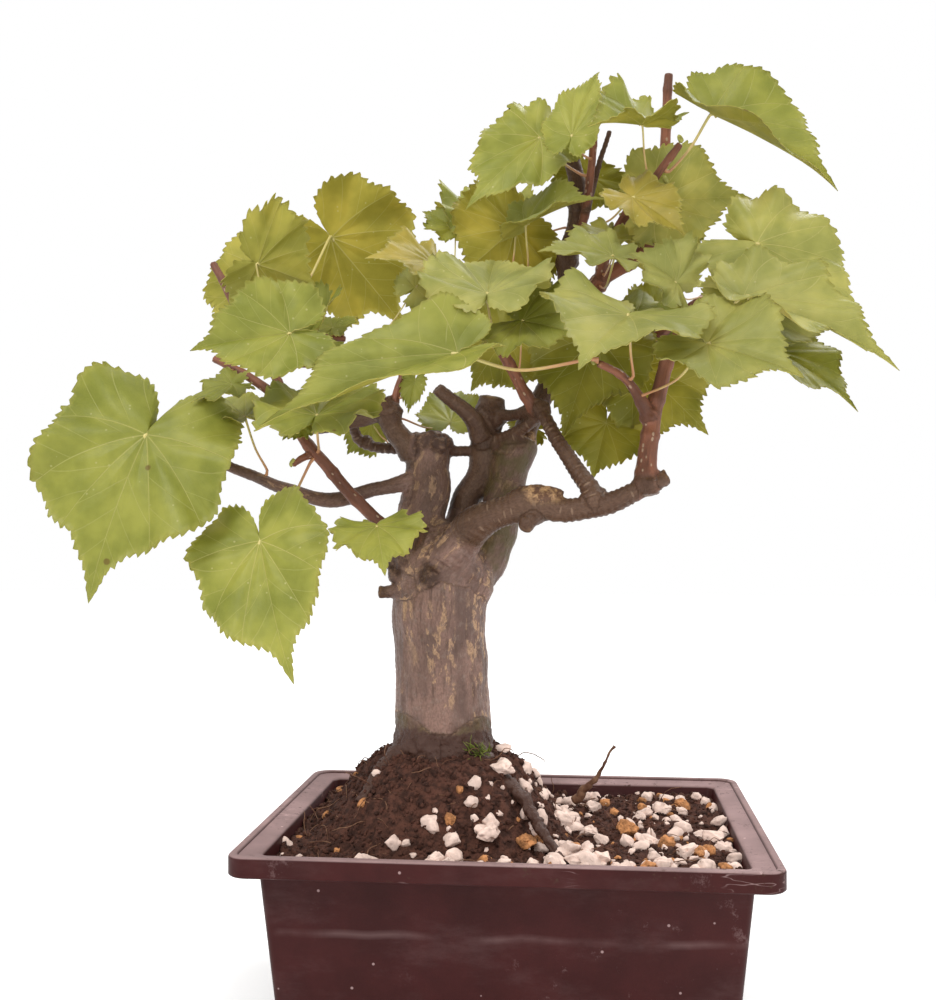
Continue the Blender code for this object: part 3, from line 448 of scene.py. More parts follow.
def leaf_materials(shared, sizes):
    """Upper side and underside of each tone, and the stalk."""
    made = {}
    for tone, (upper, under, _) in TONES.items():
        for side, base in (("upper", upper), ("under", under)):
            tree, surface, material = new_material(f"Leaf {tone} {side}", 0.44 if side == "upper" else 0.6, 0.35)
            blade = attribute(tree, "blade", "Vector")
            veins = use_group(tree, shared["veins"], {"Blade": blade})
            where = place(tree)
            patches = ramp(tree, clouds(tree, where, 48.0, 3.0), 0.32, 0.7)
            lighter = tuple(min(1.0, c * 1.22 + 0.015) for c in base)
            deeper = (base[0] * 0.78, base[1] * 0.84, base[2] * 0.74)
            tint = mix(tree, patches, deeper, lighter)
            tint = mix(tree, calc(tree, "MULTIPLY", veins["Net"], 0.10), tint, lighter)
            paler = tuple(min(1.0, 0.2 * c + 0.8 * v) for c, v in zip(base, sizes.vein))
            tint = mix(tree, calc(tree, "MULTIPLY", veins["Veins"], 0.8), tint, paler)
            # Painted highlight: the outermost ring of the blade is lightened to a pale yellow-green, as if light caught
            # the rim.
            edge = ramp(tree, attribute(tree, "edge"), 0.93, 1.0)
            tint = mix(tree, calc(tree, "MULTIPLY", edge, 0.45), tint, (0.56, 0.53, 0.16))
            lifted = use_group(tree, shared["specks"], {"Where": where, "Scale": 330.0, "Size": 0.20, "Share": 0.10})
            tint = mix(tree, calc(tree, "MULTIPLY", lifted[0], 0.5), tint, (0.62, 0.60, 0.30))
            share = 0.16 if tone == "yellowing" else 0.012
            spots = use_group(tree, shared["specks"], {"Where": where, "Scale": 120.0, "Size": 0.22, "Share": share})
            tint = mix(tree, calc(tree, "MULTIPLY", spots[0], 0.8), tint, (0.17, 0.075, 0.02))
            tint = mix(tree, attribute(tree, "tone"), tint, tuple(c * 0.8 for c in deeper))
            tree.links.new(tint, surface["Base Color"])
            height = calc(tree, "MULTIPLY_ADD", clouds(tree, where, 700.0, 2.0), 0.25, veins["Relief"])
            bump(tree, surface, height, 0.5, -0.0004 if side == "upper" else 0.0005)
            through = put(tree, "ShaderNodeBsdfTranslucent")
            glow = mix(tree, 1.0, tint, (1.18, 1.12, 0.55), "MULTIPLY")
            tree.links.new(glow, through.inputs["Color"])
            both = put(tree, "ShaderNodeMixShader", {0: 0.42, 1: tree.nodes["Principled BSDF"].outputs[0],
                                                     2: through.outputs[0]})
            tree.links.new(both.outputs[0], tree.nodes["Material Output"].inputs["Surface"])
            made[tone, side] = material
    tree, surface, material = new_material("Leaf stalk", 0.42)
    where = place(tree)
    blush = ramp(tree, calc(tree, "ADD", attribute(tree, "edge"), clouds(tree, where, 60.0)), 0.75, 1.35)
    tint = mix(tree, blush, tuple(sizes.stalk), (0.42, 0.20, 0.09))
    tree.links.new(tint, surface["Base Color"])
    bump(tree, surface, clouds(tree, where, 900.0), 0.3, 0.0002)
    made["stalk"] = material
    return made


def bark_material(shared, colours):
    tree, surface, material = new_material("Bark", 0.72, 0.3)
    where = place(tree)
    grain = attribute(tree, "grain", "Vector")
    look = {name: attribute(tree, name) for name in ("age", "rings", "moss", "burl", "cut", "mud")}
    streaks = clouds(tree, stretched(tree, grain, (1.0, 1.0, 0.16)), 420.0, 5.0, 0.62)
    broad = clouds(tree, stretched(tree, grain, (1.0, 1.0, 0.35)), 85.0, 4.0, 0.6)
    old = mix(tree, ramp(tree, broad, 0.34, 0.66), tuple(c * 0.52 for c in colours.old_bark),
              tuple(min(1.0, c * 1.12) for c in colours.old_bark))
    old = mix(tree, calc(tree, "MULTIPLY", ramp(tree, streaks, 0.53, 0.68), 0.75), old, (0.085, 0.044, 0.028))
    old = mix(tree, calc(tree, "MULTIPLY", ramp(tree, clouds(tree, where, 300.0, 4.0), 0.5, 0.75), 0.4), old,
              (0.26, 0.20, 0.165))
    tan = clouds(tree, stretched(tree, grain, (1.0, 1.0, 0.45)), 240.0, 4.0, 0.7)
    patch = ramp(tree, clouds(tree, stretched(tree, grain, (1.0, 1.0, 0.2)), 60.0, 2.0), 0.44, 0.54)
    old = mix(tree, calc(tree, "MULTIPLY", ramp(tree, tan, 0.53, 0.59), patch), old, (0.42, 0.26, 0.15))
    dark = mix(tree, ramp(tree, broad, 0.35, 0.65), tuple(colours.dark_bark), (0.105, 0.056, 0.032))
    dark = mix(tree, calc(tree, "MULTIPLY", ramp(tree, streaks, 0.6, 0.75), 0.5), dark, (0.19, 0.125, 0.082))
    young = mix(tree, ramp(tree, broad, 0.35, 0.65), tuple(c * 0.62 for c in colours.young_bark),
                tuple(min(1.0, c * 1.25) for c in colours.young_bark))
    young = mix(tree, calc(tree, "MULTIPLY", ramp(tree, streaks, 0.48, 0.66), 0.6), young, (0.070, 0.026, 0.014))
    dots = use_group(tree, shared["specks"], {"Where": stretched(tree, grain, (1.0, 1.0, 0.6)), "Scale": 420.0,
                                              "Size": 0.3, "Share": 0.28})
    young = mix(tree, calc(tree, "MULTIPLY", dots[0], 0.7), young, (0.42, 0.30, 0.20))
    grit = ramp(tree, clouds(tree, stretched(tree, grain, (1.0, 1.0, 0.5)), 1300.0, 3.0, 0.7), 0.36, 0.66)
    old = mix(tree, calc(tree, "MULTIPLY", grit, 0.55), old, tuple(c * 0.45 for c in colours.old_bark))
    dark = mix(tree, calc(tree, "MULTIPLY", grit, 0.45), dark, tuple(c * 0.4 for c in colours.dark_bark))
    tint = mix(tree, ramp(tree, look["age"], 0.05, 0.45), young, dark)
    tint = mix(tree, ramp(tree, look["age"], 0.5, 0.95), tint, old)
    bands = use_group(tree, shared["specks"], {"Where": stretched(tree, grain, (0.45, 0.45, 1.6)), "Scale": 300.0,
                                               "Size": 0.30, "Share": 0.5})
    tint = mix(tree, calc(tree, "MULTIPLY", bands[0], calc(tree, "MULTIPLY", look["rings"], 0.5)), tint,
               (0.24, 0.155, 0.10))
    green = calc(tree, "MULTIPLY", look["moss"], ramp(tree, clouds(tree, where, 95.0, 4.0), 0.36, 0.6))
    tint = mix(tree, calc(tree, "MULTIPLY", green, 0.8), tint, (0.085, 0.064, 0.020))
    cork = mix(tree, ramp(tree, clouds(tree, where, 330.0, 5.0, 0.7), 0.46, 0.68), (0.040, 0.017, 0.009),
              (0.17, 0.095, 0.055))
    tint = mix(tree, look["burl"], tint, cork)
    raw = mix(tree, ramp(tree, clouds(tree, where, 260.0, 4.0, 0.7), 0.42, 0.64), (0.085, 0.035, 0.015),
              (0.42, 0.25, 0.115))
    tint = mix(tree, look["cut"], tint, raw)
    earth = ramp(tree, calc(tree, "ADD", look["mud"], calc(tree, "MULTIPLY", clouds(tree, where, 170.0, 4.0), 0.9)),
                 0.72, 1.05)
    tint = mix(tree, earth, tint, (0.060, 0.026, 0.017))
    tree.links.new(tint, surface["Base Color"])
    rough = calc(tree, "MULTIPLY_ADD", grit, 0.22, 0.37)
    tree.links.new(rough, surface["Roughness"])
    fine = calc(tree, "MULTIPLY_ADD", clouds(tree, where, 900.0, 3.0, 0.7), 0.5, streaks)
    fine = calc(tree, "ADD", fine, calc(tree, "MULTIPLY", calc(tree, "MAXIMUM", look["burl"], earth),
                                        clouds(tree, where, 420.0, 5.0, 0.8)))
    fine = calc(tree, "ADD", fine, calc(tree, "MULTIPLY", dots[0], 0.5))
    bump(tree, surface, fine, 0.75, 0.0008)
    return material


def plain_material(name, low, high, scale, roughness, depth, shaded_pits=0.0):
    """A mottled, grainy finish, pitted where asked, with the hollows painted darker as painted shade."""
    tree, surface, material = new_material(name, roughness, 0.25)
    where = place(tree)
    tint = mix(tree, ramp(tree, clouds(tree, where, scale, 4.0, 0.65), 0.36, 0.64), low, high)
    height = clouds(tree, where, scale * 3.0, 4.0, 0.7)
    if shaded_pits:
        hollow = ramp(tree, cells(tree, where, scale * 2.2), 0.1, 0.42)
        # Painted shade: the hollows are darkened towards half the low colour.
        tint = mix(tree, calc(tree, "MULTIPLY", calc(tree, "SUBTRACT", 1.0, hollow), shaded_pits), tint,
                   tuple(c * 0.5 for c in low))
        height = calc(tree, "ADD", height, hollow)
    tree.links.new(tint, surface["Base Color"])
    bump(tree, surface, height, 0.7, depth)
    return material


def pot_material(shared, sizes):
    tree, surface, material = new_material("Moulded plastic", 0.5, 0.12)
    where = place(tree)
    apart = put(tree, "ShaderNodeSeparateXYZ", {0: where}).outputs
    upward = put(tree, "ShaderNodeSeparateXYZ", {0: put(tree, "ShaderNodeNewGeometry").outputs["Normal"]}).outputs[2]
    mottle = clouds(tree, where, 35.0, 5.0, 0.6)
    tint = mix(tree, ramp(tree, mottle, 0.3, 0.7), tuple(c * 0.85 for c in sizes.plastic),
               tuple(c * 1.2 for c in sizes.plastic))
    dust_and_sheen = calc(tree, "MULTIPLY", ramp(tree, clouds(tree, stretched(tree, where, (1.0, 1.0, 2.5)), 16.0, 6.0, 0.7),
                                       0.48, 0.78), 0.05)
    line_at = calc(tree, "MULTIPLY_ADD", clouds(tree, stretched(tree, where, (1.0, 1.0, 0.0)), 14.0, 2.0), 0.010, 0.049)
    line = calc(tree, "ABSOLUTE", calc(tree, "SUBTRACT", apart[2], line_at))
    line = calc(tree, "SUBTRACT", 1.0, calc(tree, "MULTIPLY", line, 420.0), clamp=True)
    line = calc(tree, "MULTIPLY", line, ramp(tree, clouds(tree, where, 22.0, 4.0), 0.42, 0.68))
    dust_and_sheen = calc(tree, "ADD", dust_and_sheen, calc(tree, "MULTIPLY", line, 0.12))
    specks = use_group(tree, shared["specks"], {"Where": where, "Scale": 210.0, "Size": 0.16, "Share": 0.06})
    dust_and_sheen = calc(tree, "ADD", dust_and_sheen, calc(tree, "MULTIPLY", specks[0], 0.5))
    smear = calc(tree, "MULTIPLY", ramp(tree, clouds(tree, where, 75.0, 6.0, 0.8), 0.60, 0.72),
                 ramp(tree, clouds(tree, where, 9.0, 1.0), 0.5, 0.62))
    dust_and_sheen = calc(tree, "ADD", dust_and_sheen, calc(tree, "MULTIPLY", smear, 0.14))
    scratch = clouds(tree, stretched(tree, where, (0.35, 1.0, 2.2)), 130.0, 2.0, 0.4)
    scratch = calc(tree, "SUBTRACT", 1.0, calc(tree, "MULTIPLY", calc(tree, "ABSOLUTE",
                   calc(tree, "SUBTRACT", scratch, 0.5)), 55.0), clamp=True)
    scratch = calc(tree, "MULTIPLY", scratch, ramp(tree, clouds(tree, where, 28.0, 2.0), 0.56, 0.66))
    high = ramp(tree, apart[2], 0.078, 0.084)
    dust_and_sheen = calc(tree, "ADD", dust_and_sheen, calc(tree, "MULTIPLY", calc(tree, "MULTIPLY", scratch, high), 0.35))
    # Faces turned upwards take more of the dust colour: partly real dust lying on them, partly painted sheen where the
    # light glances off them.
    top = ramp(tree, upward, 0.45, 0.9)
    dust_and_sheen = calc(tree, "ADD", dust_and_sheen, calc(tree, "MULTIPLY", top, calc(tree, "MULTIPLY_ADD", mottle, 0.62, 0.16)),
                clamp=True)
    tint = mix(tree, dust_and_sheen, tint, tuple(sizes.dust))
    peat = calc(tree, "MULTIPLY", ramp(tree, clouds(tree, where, 260.0, 6.0, 0.8), 0.55, 0.66),
                calc(tree, "MULTIPLY", ramp(tree, clouds(tree, where, 30.0, 3.0), 0.44, 0.62), high))
    tint = mix(tree, peat, tint, (0.05, 0.022, 0.015))
    tree.links.new(tint, surface["Base Color"])
    tree.links.new(calc(tree, "MULTIPLY_ADD", dust_and_sheen, 0.35, 0.45), surface["Roughness"])
    bump(tree, surface, clouds(tree, where, 1500.0, 3.0), 0.25, 0.00015)
    return material


# ---------------------------------------------------------------- meshes

def in_tree(point):
    """A point of the tree's tables, in metres."""
    return FOOT + Vector(point[:3]) * MM


def new_object(name, mesh, materials=()):
    made = bpy.data.objects.new(name, mesh)
    bpy.context.scene.collection.objects.link(made)
    for material in materials:
        mesh.materials.append(material)
    return made


def remove_object(obj):
    bpy.data.objects.remove(obj, do_unlink=True)


def finish_piece(obj, slot, *replaced):
    """Hands the finished piece over to the frame."""
    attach(obj, "root")
    if replaced:
        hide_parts(*replaced)


def store(mesh, name, values, kind="FLOAT"):
    """Writes one value for each vertex."""
    layer = mesh.attributes.new(name, kind, "POINT")
    if kind == "FLOAT":
        layer.data.foreach_set("value", values)
    else:
        layer.data.foreach_set("vector", [part for value in values for part in value])


def plain_mesh(obj):
    """The object's mesh with its modifiers worked in."""
    bpy.context.view_layer.update()
    graph = bpy.context.evaluated_depsgraph_get()
    return bpy.data.meshes.new_from_object(obj.evaluated_get(graph), preserve_all_data_layers=True, depsgraph=graph)


def grow(obj, tree, inputs):
    """Runs a Geometry Nodes tree with these named inputs on the object and keeps the result as its mesh."""
    modifier = obj.modifiers.new(tree.name, "NODES")
    modifier.node_group = tree
    for item in tree.interface.items_tree:
        if item.item_type == "SOCKET" and item.in_out == "INPUT" and item.name in inputs:
            modifier[item.identifier] = inputs[item.name]
    mesh = plain_mesh(obj)
    obj.modifiers.remove(modifier)
    obj.data = mesh
    return obj


def geometry_tree(name, inputs):
    tree = bpy.data.node_groups.new(name, "GeometryNodeTree")
    tree.interface.new_socket("Geometry", in_out="INPUT", socket_type="NodeSocketGeometry")
    for title, kind in inputs:
        tree.interface.new_socket(title, in_out="INPUT", socket_type="NodeSocket" + kind)
    tree.interface.new_socket("Geometry", in_out="OUTPUT", socket_type="NodeSocketGeometry")
    return tree, tree.nodes.new("NodeGroupInput").outputs, tree.nodes.new("NodeGroupOutput").inputs


def close_tree(tree, geometry, material, made):
    """Ends a tree with real geometry in its material."""
    real = put(tree, "GeometryNodeRealizeInstances", {0: geometry})
    dressed = put(tree, "GeometryNodeSetMaterial", {"Geometry": real.outputs[0], "Material": material})
    tree.links.new(dressed.outputs[0], made["Geometry"])


def limb_tree():
    """Sweeps a round section along edges, as thick at each point as its girth says."""
    tree, given, made = geometry_tree("Limbs", [("Sides", "Int"), ("Material", "Material")])
    girth = put(tree, "GeometryNodeInputNamedAttribute", {"Name": "girth"}, data_type="FLOAT").outputs[0]
    curve = put(tree, "GeometryNodeMeshToCurve", {0: given["Geometry"]}).outputs[0]
    ring = put(tree, "GeometryNodeCurvePrimitiveCircle", {"Resolution": given["Sides"], "Radius": 1.0}).outputs[0]
    swept = put(tree, "GeometryNodeCurveToMesh", {0: curve, 1: ring, "Scale": girth, "Fill Caps": True}).outputs[0]
    close_tree(tree, swept, given["Material"], made)
    return tree


def scatter_tree():
    """Strews a family of small shapes over a surface, as densely at each point as its cover says."""
    tree, given, made = geometry_tree(
        "Strewn grains", [("Family", "Collection"), ("Cover", "String"), ("Spacing", "Float"), ("Density", "Float"),
                          ("Least", "Float"), ("Most", "Float"), ("Seed", "Int"), ("Sink", "Float"),
                          ("Material", "Material")])
    cover = put(tree, "GeometryNodeInputNamedAttribute", {"Name": given["Cover"]}, data_type="FLOAT").outputs[0]
    points = put(tree, "GeometryNodeDistributePointsOnFaces", {"Mesh": given["Geometry"],
                 "Distance Min": given["Spacing"], "Density Max": given["Density"], "Density Factor": cover,
                 "Seed": given["Seed"]}, distribute_method="POISSON").outputs
    family = put(tree, "GeometryNodeCollectionInfo", {"Collection": given["Family"], "Separate Children": True,
                                                      "Reset Children": True}).outputs[0]
    chance = put(tree, "FunctionNodeRandomValue", {2: 0.0, 3: 1.0, "Seed": given["Seed"]}).outputs[1]
    small = calc(tree, "POWER", chance, 2.0)
    size = put(tree, "ShaderNodeMapRange", {0: small, 3: given["Least"], 4: given["Most"]}).outputs[0]
    turn = put(tree, "FunctionNodeRandomValue", {0: (0.0, 0.0, 0.0), 1: (0.5, 0.5, 6.283), "Seed": given["Seed"]},
               data_type="FLOAT_VECTOR").outputs[0]
    turn = put(tree, "FunctionNodeEulerToRotation", {0: turn}).outputs[0]
    turn = put(tree, "FunctionNodeRotateRotation", {0: points["Rotation"], 1: turn},
               rotation_space="LOCAL").outputs[0]
    strewn = put(tree, "GeometryNodeInstanceOnPoints", {"Points": points["Points"], "Instance": family,
                 "Pick Instance": True, "Rotation": turn, "Scale": size}).outputs[0]
    drop = calc(tree, "MULTIPLY", size, given["Sink"])
    drop = put(tree, "ShaderNodeCombineXYZ", {2: drop}).outputs[0]
    strewn = put(tree, "GeometryNodeTranslateInstances", {0: strewn, "Translation": drop, "Local Space": False})
    close_tree(tree, strewn.outputs[0], given["Material"], made)
    return tree


def smooth_run(rows, step):
    """Rows of four numbers along a smooth curve through these rows, about a step apart."""
    rows = [Vector(row[:4]) for row in rows]
    rows = [rows[0] * 2 - rows[1], *rows, rows[-1] * 2 - rows[-2]]
    made = []
    for before, here, ahead, after in zip(rows, rows[1:], rows[2:], rows[3:]):
        parts = max(2, round((ahead.xyz - here.xyz).length / step))
        for number in range(parts):
            t = number / parts
            low, high = here.lerp(ahead, t), (ahead - before) * 0.5
            bend = here * (2 * t ** 3 - 3 * t ** 2 + 1) + ahead * (3 * t ** 2 - 2 * t ** 3)
            bend += high * (t ** 3 - 2 * t ** 2 + t) + (after - here) * 0.5 * (t ** 3 - t ** 2)
            bend.w = max(bend.w, low.w * 0.8)
            made.append(bend)
    made.append(rows[-2])
    return made


def blob(bm, middle, halves, turn=None, detail=3, uneven=0.0, seed=0.0):
    """An uneven rounded lump."""
    made = bmesh.ops.create_icosphere(bm, subdivisions=detail, radius=1.0)["verts"]
    for vertex in made:
        way = vertex.co.normalized()
        stretch = 1.0 + uneven * noise.noise(way * 1.6 + Vector((seed, 0, 0)))
        stretch += uneven * 0.22 * noise.noise(way * 4.1 + Vector((0, seed, 0)))
        spot = Vector((way.x * halves[0], way.y * halves[1], way.z * halves[2])) * stretch
        vertex.co = middle + (turn @ spot if turn else spot)
    return made


def chip(vertices, middle, halves, rng, cuts):
    """Breaks flat faces off a lump."""
    for _ in range(cuts):
        way = Vector([rng.gauss(0.0, 1.0) for _ in range(3)]).normalized()
        reach = rng.uniform(0.62, 0.86) * math.sqrt(sum((way[k] * halves[k]) ** 2 for k in range(3)))
        for vertex in vertices:
            over = (vertex.co - middle).dot(way) - reach
            if over > 0.0:
                vertex.co -= way * over * 0.88


def tube(bm, route, radii, sides, material=0):
    """A round closed tube along the route. Returns its vertices, ring by ring."""
    heading = (route[1] - route[0]).normalized()
    side = heading.orthogonal().normalized()
    rings = []
    for number, (spot, radius) in enumerate(zip(route, radii)):
        ahead = (route[min(number + 1, len(route) - 1)] - route[max(number - 1, 0)]).normalized()
        side.rotate(heading.rotation_difference(ahead))
        heading = ahead
        other = heading.cross(side)
        turns = [2 * math.pi * k / sides for k in range(sides)]
        rings.append([bm.verts.new(spot + (side * math.cos(a) + other * math.sin(a)) * radius) for a in turns])
    faces = [bm.faces.new(reversed(rings[0])), bm.faces.new(rings[-1])]
    for low, high in zip(rings, rings[1:]):
        for k in range(sides):
            faces.append(bm.faces.new((low[k], low[(k + 1) % sides], high[(k + 1) % sides], high[k])))
    for face in faces:
        face.material_index = material
        face.smooth = True
    return rings


# ---------------------------------------------------------------- wood

KINDS = {
    "old": {"age": 1.0}, "dark": {"age": 0.5, "rings": 0.35}, "green": {"age": 0.7, "moss": 1.0}, "ringed": {"age": 0.4, "rings": 1.0},
    "smooth": {"age": 0.0}, "shaggy": {"age": 0.62, "shag": 1.0}, "root": {"age": 0.62, "moss": 0.7, "mud": 0.25},
    "weathered": {"age": 0.74, "rings": 0.2}, "brown": {"age": 0.25, "rings": 0.3},
    "burl": {"age": 1.0, "burl": 0.9}, "knob": {"age": 0.8, "cut": 0.9, "burl": 0.3},
}
LOOKS = ("age", "rings", "moss", "burl", "cut", "mud", "shag")
CUT_ENDS = ("middle leader", "right leader", "front limb", "centre twig", "under stub", "right fork", "stub")
TRUNK_LIMBS = ("left leader", "middle leader", "right leader", "front limb", "long twig", "low limb", "stub")
PLAIN_STARTS = ("trunk", "long twig", "stub", "surface root", "left root")


def limb_runs(sizes):
    """Each limb's name, kind and smooth run of centres and radii, in metres."""
    runs = []
    for number, (name, (kind, rows)) in enumerate(LIMBS.items()):
        run = smooth_run([(*in_tree(row), row[3] * MM) for row in rows], sizes.step)
        total = sum((b.xyz - a.xyz).length for a, b in zip(run, run[1:]))
        gone = 0.0
        for place_now, row in enumerate(run):
            if place_now:
                gone += (row.xyz - last).length
            last = row.xyz.copy()
            hold = min(1.0, gone / 0.012, (total - gone) / 0.012)
            kink = noise.noise_vector(last * 55.0 + Vector((0, 0, number * 7.3)))
            if name != "trunk":
                row.xyz = last + kink * row.w * 0.42 * hold
            if name not in PLAIN_STARTS:
                slender = min(1.0, max(0.0, (0.0062 - row.w) / 0.002))
                row.w *= 1.0 + sizes.collar * slender * math.exp(-gone / (2.2 * row.w))
            if kind == "smooth":
                node = math.exp(-((gone % 0.017 - 0.0085) / 0.0016) ** 2)
                row.w *= 1.0 + 0.16 * node
        runs.append((name, kind, run))
    return runs


def bark_samples(runs):
    """A search tree of the limbs' centres, and for each centre its frame, run and kind."""
    samples = []
    for number, (name, kind, run) in enumerate(runs):
        heading = (run[1].xyz - run[0].xyz).normalized()
        side = heading.orthogonal().normalized()
        gone = 0.0
        for here in range(len(run)):
            low, high = run[max(here - 1, 0)].xyz, run[min(here + 1, len(run) - 1)].xyz
            ahead = (high - low).normalized()
            side.rotate(heading.rotation_difference(ahead))
            heading = ahead
            if here:
                gone += (run[here].xyz - run[here - 1].xyz).length
            end = here == len(run) - 1
            samples.append((run[here].xyz.copy(), run[here].w, side.copy(), heading.cross(side), heading.copy(),
                            gone, kind, number, end and name in CUT_ENDS))
    found = kdtree.KDTree(len(samples))
    for index, sample in enumerate(samples):
        found.insert(sample[0], index)
    found.balance()
    return samples, found


def evened(mesh, values, rounds, share=1.0):
    """Evens out rows of values over neighbouring vertices, each vertex by its own share."""
    edges = np.empty(len(mesh.edges) * 2, int)
    mesh.edges.foreach_get("vertices", edges)
    here = np.concatenate([edges[::2], edges[1::2]])
    there = np.concatenate([edges[1::2], edges[::2]])
    count = np.bincount(here, minlength=len(values))
    for _ in range(rounds):
        sums = [np.bincount(here, column[there], len(values)) for column in values.T]
        values = values + (np.array(sums).T / count[:, None] - values) * share
    return values


def soften_crotches(mesh, found, samples):
    """Smooths the creases where stout wood meets, and leaves the twigs as they are."""
    places = np.array([vertex.co for vertex in mesh.vertices])
    girths = np.array([samples[found.find(vertex.co)[1]][1] for vertex in mesh.vertices])
    share = np.clip((girths - 0.005) / 0.006, 0.0, 1.0)[:, None]
    places = evened(mesh, places, 24, share)
    mesh.vertices.foreach_set("co", places.ravel())
    mesh.update()


def bark_relief(place_now, grain, look):
    """How far the bark stands out here."""
    n, fine = noise.noise, place_now * 1000.0
    lengthwise = Vector((grain.x * 330.0, grain.y * 330.0, grain.z * 62.0))
    deep = look["age"] ** 3
    height = 0.00042 * n(lengthwise) * (0.25 + deep) + 0.0009 * n(place_now * 75.0) * deep
    height += 0.00016 * n(fine * 0.62) * (0.4 + look["age"])
    height += look["burl"] * (0.0016 * n(place_now * 170.0) + 0.0008 * n(place_now * 420.0))
    height += look["rings"] * 0.00022 * math.sin(grain.z * 2100.0 + 5.0 * n(place_now * 120.0))
    height += look["shag"] * 0.0013 * max(-0.3, n(Vector((grain.x * 420.0, grain.y * 420.0, grain.z * 75.0))))
    height += look["mud"] * (0.0012 * n(place_now * 230.0) + 0.0007 * n(place_now * 620.0))
    height += look["cut"] * 0.0007 * n(place_now * 330.0)
    return height


def dress_bark(mesh, runs):
    """Gives the smooth wood its ridges, rings and burls, and notes for the bark's finish where each is."""
    samples, found = bark_samples(runs)
    soften_crotches(mesh, found, samples)
    lumps = [(in_tree(middle), [half * MM for half in halves], kind) for middle, halves, kind in LUMPS]
    looks = {name: [] for name in LOOKS}
    grains = []
    first = {number for number, run in enumerate(runs) if run[0] in TRUNK_LIMBS}
    for vertex in mesh.vertices:
        spot = vertex.co
        hits = [(gap - samples[index][1], index) for _, index, gap in found.find_n(spot, 9)]
        centre, radius, side, other, heading, gone, kind, number, cut = samples[min(hits)[1]]
        off = spot - centre
        grains.append(Vector((off.dot(side) + number * 0.05, off.dot(other), gone + off.dot(heading))))
        look = dict.fromkeys(LOOKS, 0.0)
        grown = 1.0 if number == 0 or kind == "root" else min(1.0, gone / (radius * 2.6)) ** 2
        for name in LOOKS:
            own, parent = KINDS[kind].get(name, 0.0), 1.0 if name == "age" and number in first else None
            look[name] = own if parent is None else parent + (own - parent) * grown
        if cut and off.dot(heading) > -0.0004:
            look["cut"] = 1.0
        for middle, halves, lump in lumps:
            near = spot - middle
            far = math.sqrt(sum((near[axis] / halves[axis]) ** 2 for axis in range(3)))
            if far < 1.25:
                share = min(1.0, (1.25 - far) / 0.25)
                for name in LOOKS:
                    look[name] += (KINDS[lump].get(name, 0.0) - look[name]) * share
        above = spot.z - FOOT.z
        look["mud"] = max(look["mud"], min(1.0, max(0.0, (0.017 - above) / 0.012)))
        if number == 0:
            look["moss"] = max(look["moss"], 0.25 * min(1.0, max(0.0, (above - 0.08) / 0.02)))
        for name in LOOKS:
            looks[name].append(look[name])
    table = evened(mesh, np.array([looks[name] for name in LOOKS]).T, 4)
    looks = {name: table[:, number].tolist() for number, name in enumerate(LOOKS)}
    normals = [vertex.normal.copy() for vertex in mesh.vertices]
    for index, vertex in enumerate(mesh.vertices):
        here = {name: looks[name][index] for name in LOOKS}
        vertex.co = vertex.co + normals[index] * bark_relief(vertex.co.copy(), grains[index], here)
    for name in LOOKS[:-1]:
        store(mesh, name, looks[name])
    store(mesh, "grain", grains, "FLOAT_VECTOR")


def make_wood(sizes, material):
    """The trunk, its leaders, limbs, twigs and surface roots, grown together in one skin."""
    runs = limb_runs(sizes)
    bm = bmesh.new()
    girth = bm.verts.layers.float.new("girth")
    for _, _, run in runs:
        last = None
        for row in run:
            vertex = bm.verts.new(row.xyz)
            vertex[girth] = row.w
            if last:
                bm.edges.new((last, vertex))
            last = vertex
    mesh = bpy.data.meshes.new("wood")
    bm.to_mesh(mesh)
    bm.free()
    wood = grow(new_object("wood", mesh), limb_tree(), {"Sides": 22, "Material": material})
    bm = bmesh.new()
    bm.from_mesh(wood.data)
    for number, (middle, halves, _) in enumerate(LUMPS):
        blob(bm, in_tree(middle), [half * MM for half in halves], None, 3, 0.28, number * 3.1)
    bmesh.ops.recalc_face_normals(bm, faces=bm.faces[:])
    bm.to_mesh(wood.data)
    bm.free()
    skin = wood.modifiers.new("skin", "REMESH")
    skin.mode = "VOXEL"
    skin.voxel_size = sizes.voxel
    skin.use_smooth_shade = True
    mesh = plain_mesh(wood)
    wood.modifiers.remove(skin)
    wood.data = mesh
    dress_bark(mesh, runs)
    mesh.materials.clear()
    mesh.materials.append(material)
    for face in mesh.polygons:
        face.use_smooth = True
        face.material_index = 0
    finish_piece(wood, "bark", "trunk_and_branches")
    return wood


# ---------------------------------------------------------------- leaves

